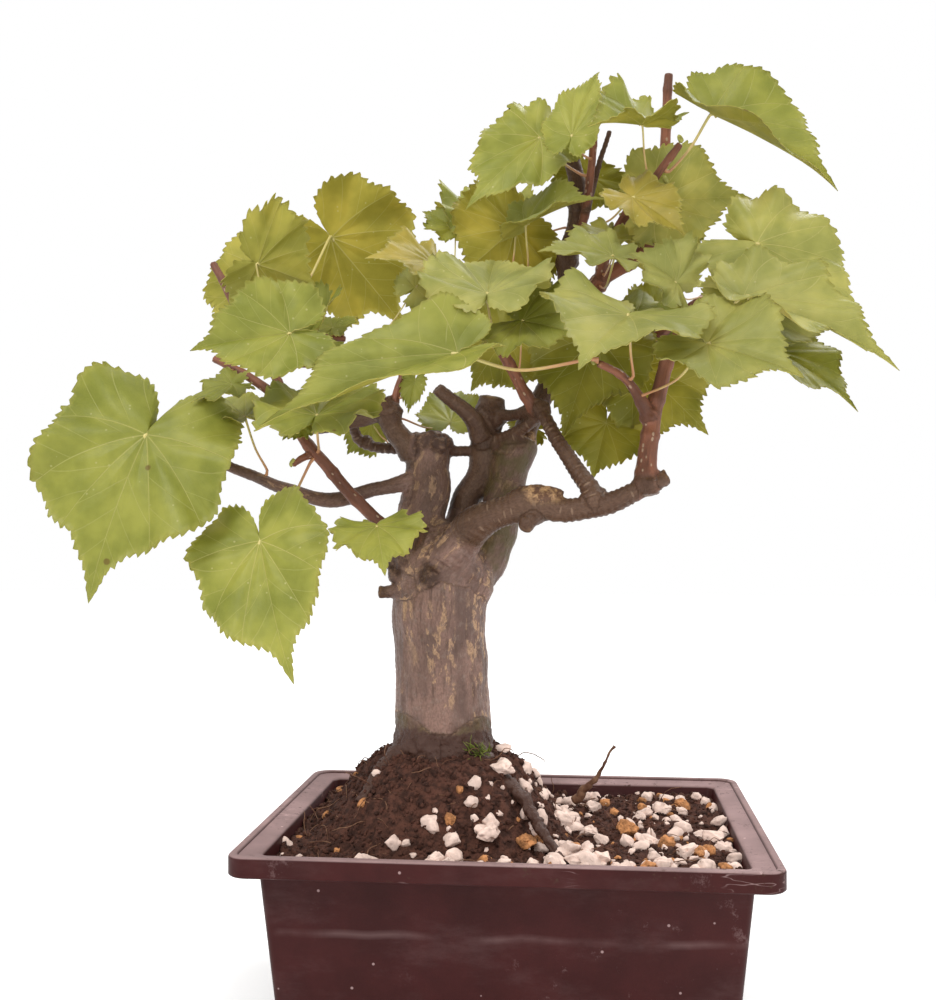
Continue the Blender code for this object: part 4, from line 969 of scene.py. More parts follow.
def margin(sizes, blade_length, rng):
    """The right half of the margin from the tip to the notch, on a blade of length 1: each row holds the
    plain point and the way that a tooth pushes it out."""
    rows = smooth_run([(math.radians(angle), reach, 0.0, 0.0) for angle, reach in OUTLINE], 0.02)
    seed = rng.uniform(0, 50)
    for row in rows:
        row.y *= 1.0 + 0.13 * noise.noise(Vector((row.x * 3.0, seed, 0))) * min(1.0, row.x / 0.25)
    spots = [Vector((row.y * math.sin(row.x), row.y * math.cos(row.x))) for row in rows]
    gone = [0.0]
    for a, b in zip(spots, spots[1:]):
        gone.append(gone[-1] + (b - a).length)
    tooth = sizes.tooth * min(1.0, 0.45 + blade_length / 0.14) / blade_length
    count = max(8, round(gone[-1] / tooth)) * 4
    made, at = [], 0
    for number in range(count + 1):
        want = gone[-1] * number / count
        while at < len(gone) - 2 and gone[at + 1] < want:
            at += 1
        share = (want - gone[at]) / max(gone[at + 1] - gone[at], 1e-9)
        spot = spots[at].lerp(spots[at + 1], min(1.0, share))
        along = (spots[at + 1] - spots[at]).normalized()
        out = Vector((-along.y, along.x))
        if out.dot(spot - Vector((0.0, 0.25))) < 0:
            out = -out
        height = (0.0, 0.85, 1.0, 0.45)[number % 4] * (0.55 + 0.8 * rng.random())
        height *= min(1.0, max(0.0, spot.x / 0.10)) * min(1.0, number / 8) * min(1.0, (count - number) / 10)
        made.append((spot, (out * 0.9 - along * 0.5) * height * sizes.tooth_depth / blade_length))
    return made


def vein_relief(x, y):
    """Bulge of the blade between its veins: 0 on a main vein, up to 1 between them."""
    side, reach = abs(x), math.hypot(x, y)
    angle = math.atan2(side, y)
    angle += reach * angle * VEIN_SWEEP
    gap = min(abs(angle - vein) for vein in VEIN_ANGLES) * reach
    sector = max(vein for vein in VEIN_ANGLES if vein <= angle)
    out, along = reach * math.sin(angle - sector), reach * math.cos(angle - sector)
    order = (along - 1.15 * out + 1.3 * out * out) * VEIN_ORDER
    return (1.0 - math.exp(-(gap / 0.045) ** 2)) * (0.55 + 0.45 * abs(math.sin(math.pi * (order - 0.5))))


def blade_spot(x, y, fold, curl):
    """Puts a point of the flat blade on the folded and drooping one."""
    bend = curl * y
    rise = abs(x) * math.sin(fold)
    along = math.sin(bend) / curl + rise * math.sin(bend)
    return Vector((x * math.cos(fold), along, (math.cos(bend) - 1) / curl + rise * math.cos(bend)))


def limb_spot(runs, name, share):
    """Centre, heading and radius at this share of a limb's length."""
    run = next(run for other, _, run in runs if other == name)
    lengths = [(b.xyz - a.xyz).length for a, b in zip(run, run[1:])]
    left = share * sum(lengths)
    for a, b, span in zip(run, run[1:], lengths):
        if left <= span:
            break
        left -= span
    return a.xyz.lerp(b.xyz, min(1.0, left / span)), (b.xyz - a.xyz).normalized(), a.w


def make_leaf(index, row, sizes, runs, materials):
    """A toothed heart-shaped blade with a bulge between its veins, and the stalk that bears it."""
    name, limb, share, base, tip, width, faces, fold, droop, tone = row
    rng = random.Random(100 + index)
    base, tip, width = in_tree(base), in_tree(tip), width * MM
    fold, droop = math.radians(fold), math.radians(droop)
    blade_length = (tip - base).length * (droop / 2) / math.sin(droop / 2)
    ahead = (tip - base).normalized()
    upper = Vector(faces)
    upper = (upper - ahead * upper.dot(ahead)).normalized()
    turn = Matrix((ahead.cross(upper), ahead, upper)).transposed()
    tilt = Matrix.Rotation(droop / 2, 3, "X")
    curl = droop / blade_length
    wide, long_back = width / (2 * WIDEST), min(blade_length, width)
    cup, waves, phase = rng.uniform(-0.10, 0.05), rng.choice((3, 4, 5)), rng.uniform(0, 6.28)
    twist, hook = rng.uniform(-0.25, 0.25), rng.uniform(0.1, 0.5)
    half = margin(sizes, blade_length, rng)
    other = margin(sizes, blade_length, rng)
    sweep = [(Vector((-spot.x, spot.y)), Vector((-push.x, push.y))) for spot, push in reversed(other[1:])] + half
    rings = RINGS if blade_length > 0.03 else RINGS[1::2]

    def place_flat(spot, ring):
        x, y = spot
        reach = math.hypot(x, y)
        swing = math.atan2(x, y)
        point = blade_spot(x * wide, y * (blade_length if y > 0 else long_back), fold, curl)
        lift = cup * width * ring * ring + sizes.quilting * width * vein_relief(x, y)
        lift += sizes.wave * width * ring ** 2.5 * math.sin(waves * swing * 1.7 + phase) * min(1.0, 2 * abs(x))
        lift += twist * x * y * width * 0.8
        if y > 0.7:
            lift -= hook * (y - 0.7) ** 2 * blade_length * 1.6
        lift += 0.012 * width * noise.noise(Vector((x * 5, y * 5, index * 3.7))) * ring
        return base + turn @ (tilt @ (point + Vector((0, 0, lift)))), reach

    tops, blades, edges = [base.copy()], [(0.0, 0.0, 0.0)], [0.0]
    for ring in rings:
        for spot, push in sweep:
            flat = spot * ring + push * ring ** 9
            point, _ = place_flat(flat, ring)
            tops.append(point)
            blades.append((flat.x, flat.y, 0.0))
            edges.append(ring)
    around = len(sweep)
    sheet = [(0, 1 + k + 1, 1 + k) for k in range(around - 1)]
    for ring in range(len(rings) - 1):
        for k in range(around - 1):
            a = 1 + ring * around + k
            sheet.append((a, a + 1, a + around + 1, a + around))
    rim = [0] + [1 + ring * around for ring in range(len(rings))]
    rim += [1 + (len(rings) - 1) * around + k for k in range(1, around)]
    rim += [1 + ring * around + around - 1 for ring in range(len(rings) - 2, -1, -1)]
    flat_mesh = bpy.data.meshes.new("sheet")
    flat_mesh.from_pydata(tops, [], sheet)
    flat_mesh.update()
    normals = [vertex.normal.copy() for vertex in flat_mesh.vertices]
    if sum(normal.dot(upper) for normal in normals) < 0:
        normals = [-normal for normal in normals]
        sheet = [tuple(reversed(face)) for face in sheet]
        rim.reverse()
    bpy.data.meshes.remove(flat_mesh)

    bm = bmesh.new()
    blade_layer = bm.verts.layers.float_vector.new("blade")
    # The edge value is the ring's share of the blade, which the leaf material uses for a painted highlight along the
    # rim; on the stalk it rises towards the twig, for the stalk's blush.
    edge_layer = bm.verts.layers.float.new("edge")
    tone_layer = bm.verts.layers.float.new("tone")
    shade = 0.30 * rng.random()
    sides = []
    for low in (0.5, -0.5):
        side = []
        for point, normal, blade, edge in zip(tops, normals, blades, edges):
            vertex = bm.verts.new(point + normal * sizes.thickness * low)
            vertex[blade_layer], vertex[edge_layer], vertex[tone_layer] = Vector(blade), edge, shade
            side.append(vertex)
        sides.append(side)
    top, under = sides
    for face in sheet:
        bm.faces.new([top[k] for k in face]).material_index = 0
        bm.faces.new([under[k] for k in reversed(face)]).material_index = 1
    for a, b in zip(rim, rim[1:] + rim[:1]):
        if a != b:
            bm.faces.new((top[b], top[a], under[a], under[b])).material_index = 1
    for face in bm.faces:
        face.smooth = True

    axis, heading, radius = limb_spot(runs, limb, share)
    away = heading
    if share < 1.0:
        away = base - axis
        away = (away - heading * away.dot(heading)).normalized()
    thick = sizes.stalk_radius * min(1.25, max(0.55, (blade_length / 0.06) ** 0.5))
    root = axis + away * radius * 0.6
    out = axis + away * (radius + 0.0022)
    seat = base - upper * (thick * 0.9) - ahead * 0.0008
    reach = (seat - out).length
    middle = seat.lerp(out, 0.45) + Vector((0, 0, -1)) * reach * 0.07 - upper * reach * 0.05
    under_blade = base + ahead * blade_length * 0.035 - upper * thick * 0.6
    rows = smooth_run([(*spot, 0.0) for spot in (root, out, middle, seat, under_blade)], 0.0022)
    total = len(rows) - 1
    widths = []
    for number in range(len(rows)):
        t = number / total
        widths.append(thick * (1 + 0.9 * math.exp(-t * reach / 0.0028) + 0.45 * math.exp(-(1 - t) * reach / 0.0030)))
    widths[-1] *= 0.5
    for number, ring in enumerate(tube(bm, [row.xyz for row in rows], widths, 10, 2)):
        for vertex in ring:
            vertex[edge_layer] = 1.0 - number / total
    bmesh.ops.triangulate(bm, faces=[face for face in bm.faces if len(face.verts) > 4])
    mesh = bpy.data.meshes.new(name)
    bm.to_mesh(mesh)
    bm.free()
    node = f"leaf_{index + 1:02d}_{name}"
    leaf = new_object(f"blade_{name}", mesh, (materials[tone, "upper"], materials[tone, "under"], materials["stalk"]))
    finish_piece(leaf, SLOTS[node], node)
    return leaf


# ---------------------------------------------------------------- pot

DRAFT = math.tan(math.radians(5.5))
HOLES = [(x * 0.060, y * 0.035) for x in (-1, 0, 1) for y in (-1, 1)]


def wall_inset(sizes, z):
    """How far the outside of the wall lies in from the rim's outer face at height z."""
    return sizes.overhang + (POT_HIGH.z - z) * DRAFT


def rounded_ring(inset, radius, z, steps=10):
    """A rectangle with round corners, set in from the rim's outer face."""
    half_x, half_y = POT_HIGH.x - inset, POT_HIGH.y - inset
    ring = []
    for turn, (sx, sy) in enumerate(((1, 1), (-1, 1), (-1, -1), (1, -1))):
        for step in range(steps + 1):
            angle = (turn + step / steps) * math.pi / 2
            ring.append(Vector((sx * (half_x - radius) + radius * math.cos(angle),
                                sy * (half_y - radius) + radius * math.sin(angle), z)))
    return ring


def pot_section(sizes):
    """The pot's section as insets and heights, from the foot up the wall, over the rim and down inside."""
    top = POT_HIGH.z
    flange = top - 0.0012
    edge = flange - 0.0008
    under = edge - 0.0024
    bottom, skirt, round_edge = top - sizes.skirt, 0.0024, 0.0012
    section = []
    for step in range(5):
        angle = step / 4 * math.pi / 2
        z = round_edge * (1 - math.cos(angle))
        section.append((wall_inset(sizes, z) + round_edge * (1 - math.sin(angle)), z))
    section += [(wall_inset(sizes, z), z) for z in (0.02, 0.04, 0.06, under - 0.0012)]
    section += [(wall_inset(sizes, under) - 0.0010, under), (skirt + 0.001, under), (skirt, under - 0.001)]
    section += [(skirt, bottom + 0.0004), (skirt - 0.0004, bottom), (0.0006, bottom), (0.0, bottom + 0.0006)]
    for step in range(5):
        angle = step / 4 * math.pi / 2
        section.append((round_edge * (1 - math.cos(angle)), top - round_edge * (1 - math.sin(angle))))
    section += [(sizes.lip - 0.0006, top), (sizes.lip, top - 0.0003), (sizes.lip + 0.0005, flange)]
    inner = wall_inset(sizes, edge) + sizes.wall
    section += [(inner - 0.0022, edge + 0.0001), (inner - 0.0008, edge - 0.0003), (inner, edge - 0.0014)]
    section += [(wall_inset(sizes, z) + sizes.wall, z) for z in (0.07, 0.04, sizes.floor + 0.0012)]
    section += [(wall_inset(sizes, sizes.floor) + sizes.wall + 0.0012, sizes.floor)]
    return section


def make_pot(sizes, material):
    """The thin moulded training pot with its drip rim and drain holes."""
    bm = bmesh.new()
    rings = []
    for inset, z in pot_section(sizes):
        radius = max(sizes.corner - inset / 2, 0.0036)
        rings.append([bm.verts.new(point) for point in rounded_ring(inset, radius, z)])
    for low, high in zip(rings, rings[1:]):
        for k in range(len(low)):
            bm.faces.new((low[k], low[(k + 1) % len(low)], high[(k + 1) % len(low)], high[k]))
    bm.faces.new(reversed(rings[0]))
    bm.faces.new(rings[-1])
    mesh = bpy.data.meshes.new("training pot")
    bm.to_mesh(mesh)
    bm.free()
    pot = new_object("training_pot", mesh, (material,))
    cutters = []
    for x, y in HOLES:
        cutter_mesh = bpy.data.meshes.new("drain")
        bm = bmesh.new()
        bmesh.ops.create_cone(bm, cap_ends=True, segments=32, radius1=sizes.hole, radius2=sizes.hole, depth=0.02,
                              matrix=Matrix.Translation((x, y, 0.0)))
        bm.to_mesh(cutter_mesh)
        bm.free()
        cutters.append(new_object("drain", cutter_mesh))
        cut = pot.modifiers.new("drain", "BOOLEAN")
        cut.object, cut.operation, cut.solver = cutters[-1], "DIFFERENCE", "EXACT"
    mesh = plain_mesh(pot)
    pot.modifiers.clear()
    pot.data = mesh
    for cutter in cutters:
        remove_object(cutter)
    mesh.shade_smooth()
    mesh.set_sharp_from_angle(angle=math.radians(38))
    finish_piece(pot, "pot_plastic", "pot")
    return pot


# ---------------------------------------------------------------- soil and grit

def soil_height(sizes, x, y):
    """Height of the soil before its lumps."""
    gone = math.hypot(x - FOOT.x, y - FOOT.y)
    share = min(1.0, max(0.0, (sizes.mound - gone) / (sizes.mound - 0.025)))
    level = POT_HIGH.z - 0.0085
    return level + (FOOT.z - level) * math.sin(share * math.pi / 2) ** 1.4


def soil_lumps(sizes, x, y):
    where = Vector((x, y, 0.0))
    lump = noise.fractal(where * 62.0, 1.0, 2.0, 3)
    clod = abs(noise.noise(where * 150.0 + Vector((3.1, 0, 0))))
    crumb = noise.fractal(where * 420.0, 0.9, 2.1, 3)
    return sizes.lumps * (0.8 * lump + 1.0 * clod + 0.34 * crumb)


def keep_in_ring(x, y, half_x, half_y, radius):
    """Pulls a point of the rectangle's corner in onto its round corner."""
    over_x, over_y = abs(x) - (half_x - radius), abs(y) - (half_y - radius)
    if over_x > 0 and over_y > 0:
        far = math.hypot(over_x, over_y)
        if far > radius:
            x = math.copysign(half_x - radius + over_x * radius / far, x)
            y = math.copysign(half_y - radius + over_y * radius / far, y)
    return x, y


def make_soil(sizes, pot_sizes, material):
    """The peat: lumpy on top, mounded round the trunk and closed down to the pot's floor."""
    level = POT_HIGH.z - 0.0085
    inset = wall_inset(pot_sizes, level) + pot_sizes.wall + 0.0002
    half_x, half_y = POT_HIGH.x - inset, POT_HIGH.y - inset
    across, deep = round(2 * half_x / sizes.grid), round(2 * half_y / sizes.grid)
    bm = bmesh.new()
    rows = []
    for j in range(deep + 1):
        row = []
        for i in range(across + 1):
            x, y = keep_in_ring(half_x * (2 * i / across - 1), half_y * (2 * j / deep - 1), half_x, half_y, 0.0055)
            row.append(bm.verts.new((x, y, soil_height(sizes, x, y) + soil_lumps(sizes, x, y))))
        rows.append(row)
    for low, high in zip(rows, rows[1:]):
        for i in range(across):
            bm.faces.new((low[i], low[i + 1], high[i + 1], high[i]))
    border = rows[0][:-1] + [row[-1] for row in rows[:-1]] + rows[-1][:0:-1] + [row[0] for row in rows[:0:-1]]
    bottom = pot_sizes.floor + 0.0003
    narrow = (level - bottom) * DRAFT
    foot = []
    for vertex in border:
        x, y, _ = vertex.co
        foot.append(bm.verts.new((x * (1 - narrow / half_x), y * (1 - narrow / half_y), bottom)))
    for k in range(len(border)):
        ahead = (k + 1) % len(border)
        bm.faces.new((border[ahead], border[k], foot[k], foot[ahead]))
    bm.faces.new(reversed(foot))
    bmesh.ops.triangulate(bm, faces=[face for face in bm.faces if len(face.verts) > 4])
    mesh = bpy.data.meshes.new("peat")
    bm.to_mesh(mesh)
    bm.free()
    mesh.shade_smooth()
    store_cover(mesh, sizes)
    soil = new_object("peat", mesh, (material,))
    finish_piece(soil, "peat_soil", "soil")
    return soil


def store_cover(mesh, sizes):
    """Notes how densely white pumice, ochre grit and peat crumbs lie at each point of the soil's top."""
    covers = {"pumice cover": [], "ochre cover": [], "crumb cover": []}
    for vertex in mesh.vertices:
        x, y, z = vertex.co
        right = min(1.0, max(0.0, (x + 0.045) / 0.05))
        front = min(1.0, max(0.0, (-y - 0.028) / 0.035))
        patch = 0.5 + 0.5 * noise.noise(Vector((x, y, 0)) * 32.0)
        mound = min(1.0, max(0.0, (math.hypot(x - FOOT.x, y - FOOT.y) - 0.030) / 0.02))
        top = float(z > POT_HIGH.z - 0.016 and vertex.normal.z > 0.2)
        bare = min(1.0, max(0.0, 2.2 * patch - 0.35))
        white = (0.10 + 0.9 * max(right * 0.85, front * (0.55 + 0.45 * right))) * bare * mound
        covers["pumice cover"].append(top * white)
        covers["ochre cover"].append(top * (0.15 + 0.85 * right * max(0.35, front)) * mound)
        covers["crumb cover"].append(top)
    for name, values in covers.items():
        store(mesh, name, values)


def grain_family(name, count, stretch, detail, uneven, seed):
    """A family of small uneven grains of unit size, which a scatter picks from."""
    family = bpy.data.collections.new(name)
    rng = random.Random(seed)
    for number in range(count):
        bm = bmesh.new()
        halves = [0.5 * rng.uniform(*span) for span in stretch]
        chip(blob(bm, Vector(), halves, None, detail, uneven, seed + number * 5.3), Vector(), halves, rng, 7)
        mesh = bpy.data.meshes.new(name)
        bm.to_mesh(mesh)
        bm.free()
        mesh.shade_smooth()
        family.objects.link(bpy.data.objects.new(f"{name} {number}", mesh))
    return family


def clear_family(family):
    for member in list(family.objects):
        remove_object(member)
    bpy.data.collections.remove(family)


def open_ground(mesh):
    """The faces of the soil's top alone, which grains can lie on."""
    bm = bmesh.new()
    bm.from_mesh(mesh)
    cover = bm.verts.layers.float["crumb cover"]
    hidden = [face for face in bm.faces if min(vertex[cover] for vertex in face.verts) < 1.0]
    bmesh.ops.delete(bm, geom=hidden, context="FACES")
    ground = bpy.data.meshes.new("ground")
    bm.to_mesh(ground)
    bm.free()
    return ground


def strew(name, soil, tree, family, values, slot, *replaced):
    """Strews a family over the soil's top and keeps the grains as a piece of their own."""
    piece = new_object(name, open_ground(soil.data))
    grow(piece, tree, {"Family": family, **values})
    if not piece.data.polygons:
        raise RuntimeError(f"{name} came out empty")
    finish_piece(piece, slot, *replaced)
    clear_family(family)
    return piece


# The larger pieces of pumice and grit: place on the soil, size and whether it is ochre, in millimetres
STONES = (
    (-8, -50, 15, 0), (29, -48, 13, 0), (36, -66, 16, 0), (52, -70, 12, 0), (22, -64, 12, 0), (63, -70, 11, 1),
    (70, -66, 12, 0), (84, -70, 10, 1), (-4, -24, 12, 0), (25, -4, 14, 0), (38, -14, 10, 0), (84, -38, 14, 0),
    (96, -20, 13, 0), (74, -26, 11, 1), (30, -44, 12, 1), (8, -44, 11, 1), (16, -36, 11, 1), (88, -46, 10, 1),
    (-62, -68, 14, 0), (-30, -68, 11, 0), (-24, -70, 9, 0), (-88, 18, 10, 1), (-78, 20, 11, 0), (56, -8, 12, 1),
    (66, -20, 11, 0), (43, -62, 10, 0), (100, -30, 10, 0), (-46, -14, 8, 0), (13, -62, 10, 0), (92, -6, 12, 0),
    (40, 40, 11, 0), (-20, 52, 10, 0), (75, 35, 12, 0), (-70, 45, 9, 0), (10, 58, 11, 1), (88, 52, 10, 1),
)


def make_stones(sizes, tint, material, ochre, name, slot, *replaced):
    """The larger stones, each with its own shape, half sunk in the soil."""
    rng = random.Random(31 + ochre)
    bm = bmesh.new()
    for number, (x, y, size, kind) in enumerate(STONES):
        if kind != ochre:
            continue
        x, y, size = x * MM, y * MM, size * MM
        height = soil_height(sizes, x, y) + soil_lumps(sizes, x, y) + size * 0.16
        halves = (size * 0.5, size * rng.uniform(0.36, 0.46), size * rng.uniform(0.28, 0.36))
        turn = Matrix.Rotation(rng.uniform(0, 3.14), 3, "Z") @ Matrix.Rotation(rng.uniform(-0.3, 0.3), 3, "X")
        made = blob(bm, Vector((x, y, height)), halves, turn, 5, 0.5, number * 2.7)
        chip(made, Vector((x, y, height)), halves, rng, 11)
        for vertex in made:
            way = (vertex.co - Vector((x, y, height))).normalized()
            rough = 0.008 * noise.noise(vertex.co * 620.0) - 0.010 * abs(noise.noise(vertex.co * 1300.0))
            vertex.co += way * size * rough
    mesh = bpy.data.meshes.new(name)
    bm.to_mesh(mesh)
    bm.free()
    mesh.shade_smooth()
    piece = new_object(name, mesh, (material,))
    finish_piece(piece, slot, *replaced)
    return piece


# ---------------------------------------------------------------- small growth

BUDS = ((75, -53, 186), (-69, -33, 141), (-82, -6, 219), (-85, -12, 193), (84, -2, 259), (110, -14, 278),
        (166, 8, 241), (4, 8, 228), (117, -16, 297), (77, 0, 318), (29, 10, 235))


def make_buds(material):
    """The green buds at the twigs' ends and in the leaves' axils."""
    bm = bmesh.new()
    for number, middle in enumerate(BUDS):
        lean = Matrix.Rotation(0.5 * math.sin(number * 2.1), 3, "Y")
        blob(bm, in_tree(middle) + Vector((0, 0, 0.0014)), (0.0013, 0.0012, 0.0023), lean, 3, 0.15, number * 1.9)
    mesh = bpy.data.meshes.new("buds")
    bm.to_mesh(mesh)
    bm.free()
    mesh.shade_smooth()
    buds = new_object("buds", mesh, (material,))
    finish_piece(buds, "leaf_green")
    return buds


def wander(rng, start, heading, length_now, wild, steps=12, sink=0.0):
    """A thread's wandering route."""
    spots, way = [Vector(start)], Vector(heading).normalized()
    for _ in range(steps):
        way = (way + Vector([rng.uniform(-wild, wild) for _ in range(3)]) - Vector((0, 0, sink))).normalized()
        spots.append(spots[-1] + way * length_now / steps)
    return spots


def make_moss(sizes, material):
    """A sprig of moss on the trunk's foot."""
    rng = random.Random(9)
    bm = bmesh.new()
    middle = in_tree((20, -19, 3))
    for _ in range(46):
        start = middle + Vector((rng.uniform(-6, 5), rng.uniform(-3, 3), rng.uniform(-2, 2))) * MM
        heading = (rng.uniform(-0.9, 0.5), rng.uniform(-1.0, 0.1), rng.uniform(0.1, 1.0))
        route = wander(rng, start, heading, rng.uniform(0.004, 0.008), 0.25, 5)
        tube(bm, route, [0.00026, 0.0003, 0.00026, 0.0002, 0.00014, 0.00006], 5)
    mesh = bpy.data.meshes.new("moss")
    bm.to_mesh(mesh)
    bm.free()
    moss = new_object("moss_sprig", mesh, (material,))
    finish_piece(moss, "leaf_green")
    return moss


def make_fibres(sizes, material):
    """Hair roots and straw in the peat, with the dead twig at the back and the hair root on the trunk."""
    rng = random.Random(17)
    bm = bmesh.new()
    for number in range(260):
        angle, far = rng.uniform(0, 6.28), rng.uniform(0.02, 0.10)
        if number % 2:
            x, y = rng.uniform(-0.098, 0.098), rng.uniform(-0.070, 0.070)
        else:
            x, y = FOOT.x + far * math.cos(angle), FOOT.y + far * math.sin(angle)
        if abs(x) > 0.098 or abs(y) > 0.070:
            continue
        z = soil_height(sizes, x, y) + soil_lumps(sizes, x, y) + 0.0006
        heading = (rng.uniform(-1, 1), rng.uniform(-1, 1), rng.uniform(-0.1, 0.5))
        route = wander(rng, (x, y, z), heading, rng.uniform(0.006, 0.018), 0.35, 9, 0.10)
        thick = rng.uniform(0.00012, 0.00028)
        tube(bm, route, [thick] * 9 + [thick * 0.4], 5)
    hair = smooth_run([(*in_tree(p), 0.0) for p in ((24, -20, -2), (30, -24, 2), (33, -26, 6), (37, -26, 5))], 0.001)
    tube(bm, [row.xyz for row in hair], [0.00022] * len(hair), 6)
    twig = ((66, 32, -32), (70, 30, -26), (75, 28, -21), (80, 27, -13), (84, 26, -5), (86, 26, -2))
    run = smooth_run([(*in_tree(p), r * MM) for p, r in zip(twig, (2.6, 2.4, 1.5, 0.8, 0.7, 0.9))], 0.001)
    for row in run:
        row.xyz += noise.noise_vector(row.xyz * 260.0) * 0.0009
    tube(bm, [row.xyz for row in run], [row.w * (1 + 0.35 * noise.noise(row.xyz * 500.0)) for row in run], 9)
    mesh = bpy.data.meshes.new("fibres")
    bm.to_mesh(mesh)
    bm.free()
    fibres = new_object("fibres", mesh, (material,))
    finish_piece(fibres, "bark")
    return fibres


# ---------------------------------------------------------------- stage

def area_light(name, place_now, aim, size, power, tint=(1.0, 1.0, 1.0)):
    data = bpy.data.lights.new(name, "AREA")
    data.shape, data.size, data.energy, data.color = "DISK", size, power, tint
    lamp = bpy.data.objects.new(name, data)
    lamp.location = place_now
    lamp.rotation_euler = (Vector(aim) - Vector(place_now)).to_track_quat("-Z", "Y").to_euler()
    bpy.context.scene.collection.objects.link(lamp)


def make_stage():
    """A plain white floor and backdrop, soft light and the camera."""
    tree, surface, material = new_material("Studio white", 0.9, 0.0)
    surface["Base Color"].default_value = (1.0, 1.0, 1.0, 1.0)
    bm = bmesh.new()
    bmesh.ops.create_grid(bm, x_segments=1, y_segments=1, size=3.0, matrix=Matrix.Translation((0, 0, -0.0004)))
    mesh = bpy.data.meshes.new("floor")
    bm.to_mesh(mesh)
    bm.free()
    new_object("floor", mesh, (material,))
    scene = bpy.context.scene
    world = bpy.data.worlds.new("Studio")
    world.use_nodes = True
    backdrop = world.node_tree.nodes["Background"].inputs
    backdrop["Color"].default_value = (1.0, 1.0, 1.0, 1.0)
    backdrop["Strength"].default_value = 1.0
    scene.world = world
    scene.view_settings.view_transform = "Standard"
    area_light("key", (-0.45, -1.0, 1.35), (0, 0, 0.22), 0.6, 13.0)
    area_light("sky", (0.55, 0.75, 1.35), (0.02, 0, 0.33), 0.8, 13.0)
    area_light("fill", (0.9, -1.0, 0.6), (0, 0, 0.2), 1.0, 3.5)
    data = bpy.data.cameras.new("camera")
    data.lens, data.sensor_width, data.clip_start = 42.45, 36.0, 0.01
    camera = bpy.data.objects.new("camera", data)
    camera.location = (0.03565, -0.58884, 0.2375)
    camera.rotation_euler = (math.radians(90.8), 0.0, math.radians(5.625))
    scene.collection.objects.link(camera)
    scene.camera = camera


# ---------------------------------------------------------------- operators

SLOTS = {row["node"]: row["material_slot"] for row in frame["record"]["subparts"]}


def shared_tree(name, build):
    """The node group of this name, made the first time that it is wanted."""
    return bpy.data.node_groups.get(name) or build()


def shared_effects():
    return {"veins": shared_tree("Leaf veins", vein_group), "specks": shared_tree("Specks", specks_group)}


class LIME_OT_stage(bpy.types.Operator):
    """Sets up the floor, the light and the camera"""
    bl_idname = "bonsai.stage"
    bl_label = "Stage"

    def execute(self, context):
        make_stage()
        return {"FINISHED"}


class LIME_OT_pot(bpy.types.Operator):
    """Makes the moulded training pot"""
    bl_idname = "bonsai.pot"
    bl_label = "Pot"

    def execute(self, context):
        sizes = context.scene.bonsai_pot
        make_pot(sizes, pot_material(shared_effects(), sizes))
        return {"FINISHED"}


class LIME_OT_soil(bpy.types.Operator):
    """Makes the peat, the stones, the grit and the fibres in it"""
    bl_idname = "bonsai.soil"
    bl_label = "Soil"

    def execute(self, context):
        sizes = context.scene.bonsai_soil
        peat = tuple(sizes.peat)
        earth = plain_material("Peat", tuple(c * 0.55 for c in peat), tuple(c * 1.5 for c in peat), 240.0, 0.95, 0.0012)
        # The last number given to the pumice and the grit is how strongly their hollows are painted darker, as painted
        # shade.
        white = plain_material("Pumice", tuple(c * 0.80 for c in sizes.pumice), tuple(c * 1.08 for c in sizes.pumice),
                               150.0, 0.85, 0.0003, 0.25)
        ochre = plain_material("Ochre grit", tuple(c * 0.62 for c in sizes.ochre), tuple(c * 1.25 for c in sizes.ochre),
                               260.0, 0.9, 0.0007, 0.35)
        straw = plain_material("Fibre", (0.085, 0.032, 0.018), (0.20, 0.105, 0.06), 120.0, 0.8, 0.0002)
        soil = make_soil(sizes, context.scene.bonsai_pot, earth)
        stones = [f"pumice_stone_{number}" for number in range(1, 5)]
        make_stones(sizes, sizes.pumice, white, 0, "pumice", "pumice", *stones)
        make_stones(sizes, sizes.ochre, ochre, 1, "ochre_stones", "pumice")
        scatter = shared_tree("Strewn grains", scatter_tree)
        flat = ((0.8, 1.2), (0.65, 1.0), (0.5, 0.75))
        strew("pumice_grains", soil, scatter, grain_family("pumice grain", 8, flat, 3, 0.42, 3),
              {"Cover": "pumice cover", "Spacing": sizes.grain, "Density": 40000.0, "Least": 0.0026, "Most": 0.0098,
               "Seed": 4, "Sink": 0.16, "Material": white}, "pumice")
        strew("ochre_grains", soil, scatter, grain_family("ochre grain", 5, flat, 3, 0.55, 7),
              {"Cover": "ochre cover", "Spacing": 0.011, "Density": 9000.0, "Least": 0.003, "Most": 0.0088,
               "Seed": 11, "Sink": 0.12, "Material": ochre}, "pumice")
        strew("peat_crumbs", soil, scatter, grain_family("crumb", 6, ((0.7, 1.3), (0.6, 1.0), (0.5, 0.9)), 2, 0.8, 13),
              {"Cover": "crumb cover", "Spacing": 0.0017, "Density": 190000.0, "Least": 0.0009, "Most": 0.0042,
               "Seed": 23, "Sink": 0.05, "Material": earth}, "peat_soil")
        make_fibres(sizes, straw)
        return {"FINISHED"}


class LIME_OT_wood(bpy.types.Operator):
    """Grows the trunk, its limbs and twigs"""
    bl_idname = "bonsai.wood"
    bl_label = "Wood"

    def execute(self, context):
        sizes = context.scene.bonsai_wood
        make_wood(sizes, bark_material(shared_effects(), sizes))
        return {"FINISHED"}


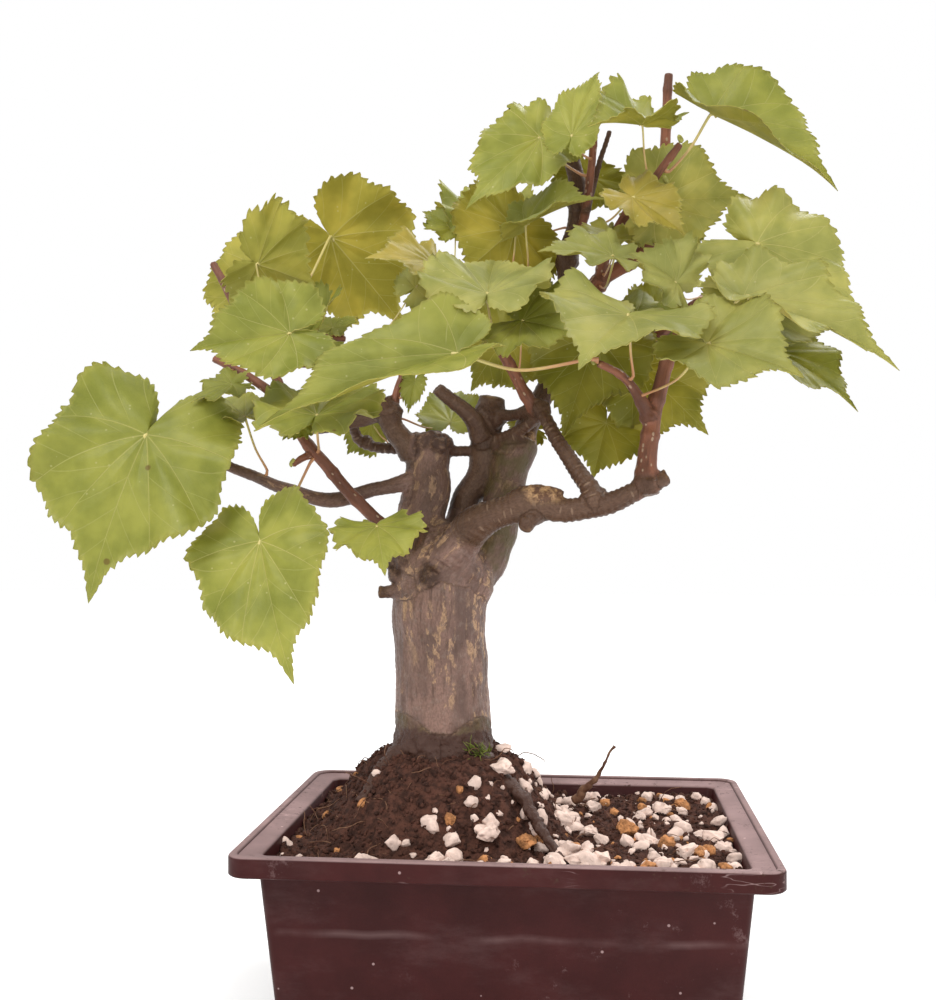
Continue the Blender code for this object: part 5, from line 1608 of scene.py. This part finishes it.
class LIME_OT_leaves(bpy.types.Operator):
    """Hangs every leaf on its stalk"""
    bl_idname = "bonsai.leaves"
    bl_label = "Leaves"

    def execute(self, context):
        sizes = context.scene.bonsai_leaves
        materials = leaf_materials(shared_effects(), sizes)
        runs = limb_runs(context.scene.bonsai_wood)
        for index, row in enumerate(LEAVES):
            make_leaf(index, row, sizes, runs, materials)
        return {"FINISHED"}


class LIME_OT_growth(bpy.types.Operator):
    """Adds the buds and the moss"""
    bl_idname = "bonsai.growth"
    bl_label = "Buds and moss"

    def execute(self, context):
        make_buds(plain_material("Bud", (0.16, 0.15, 0.03), (0.34, 0.33, 0.08), 200.0, 0.45, 0.0003))
        make_moss(context.scene.bonsai_soil, plain_material("Moss", (0.06, 0.075, 0.010), (0.17, 0.20, 0.03), 300.0,
                                                            0.7, 0.0002))
        return {"FINISHED"}


OPERATORS = (LIME_OT_stage, LIME_OT_pot, LIME_OT_soil, LIME_OT_wood, LIME_OT_leaves, LIME_OT_growth)
GROUPS = {"bonsai_wood": LIME_PG_wood, "bonsai_leaves": LIME_PG_leaves, "bonsai_pot": LIME_PG_pot,
          "bonsai_soil": LIME_PG_soil}


class LIME_PT_panel(bpy.types.Panel):
    bl_label = "Bonsai lime tree"
    bl_idname = "LIME_PT_panel"
    bl_space_type = "VIEW_3D"
    bl_region_type = "UI"
    bl_category = "Bonsai"

    def draw(self, context):
        for operator in OPERATORS:
            self.layout.operator(operator.bl_idname)
        for name, group in GROUPS.items():
            box = self.layout.box()
            for key in group.__annotations__:
                box.prop(getattr(context.scene, name), key)


def register():
    for made in (*GROUPS.values(), *OPERATORS, LIME_PT_panel):
        bpy.utils.register_class(made)
    for name, group in GROUPS.items():
        setattr(bpy.types.Scene, name, bpy.props.PointerProperty(type=group))


def unregister():
    for name in GROUPS:
        delattr(bpy.types.Scene, name)
    for made in (LIME_PT_panel, *reversed(OPERATORS), *reversed(GROUPS.values())):
        bpy.utils.unregister_class(made)


def main():
    register()
    bpy.ops.bonsai.stage()
    bpy.ops.bonsai.pot()
    bpy.ops.bonsai.soil()
    bpy.ops.bonsai.wood()
    bpy.ops.bonsai.leaves()
    bpy.ops.bonsai.growth()
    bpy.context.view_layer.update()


if __name__ == "__main__":
    main()
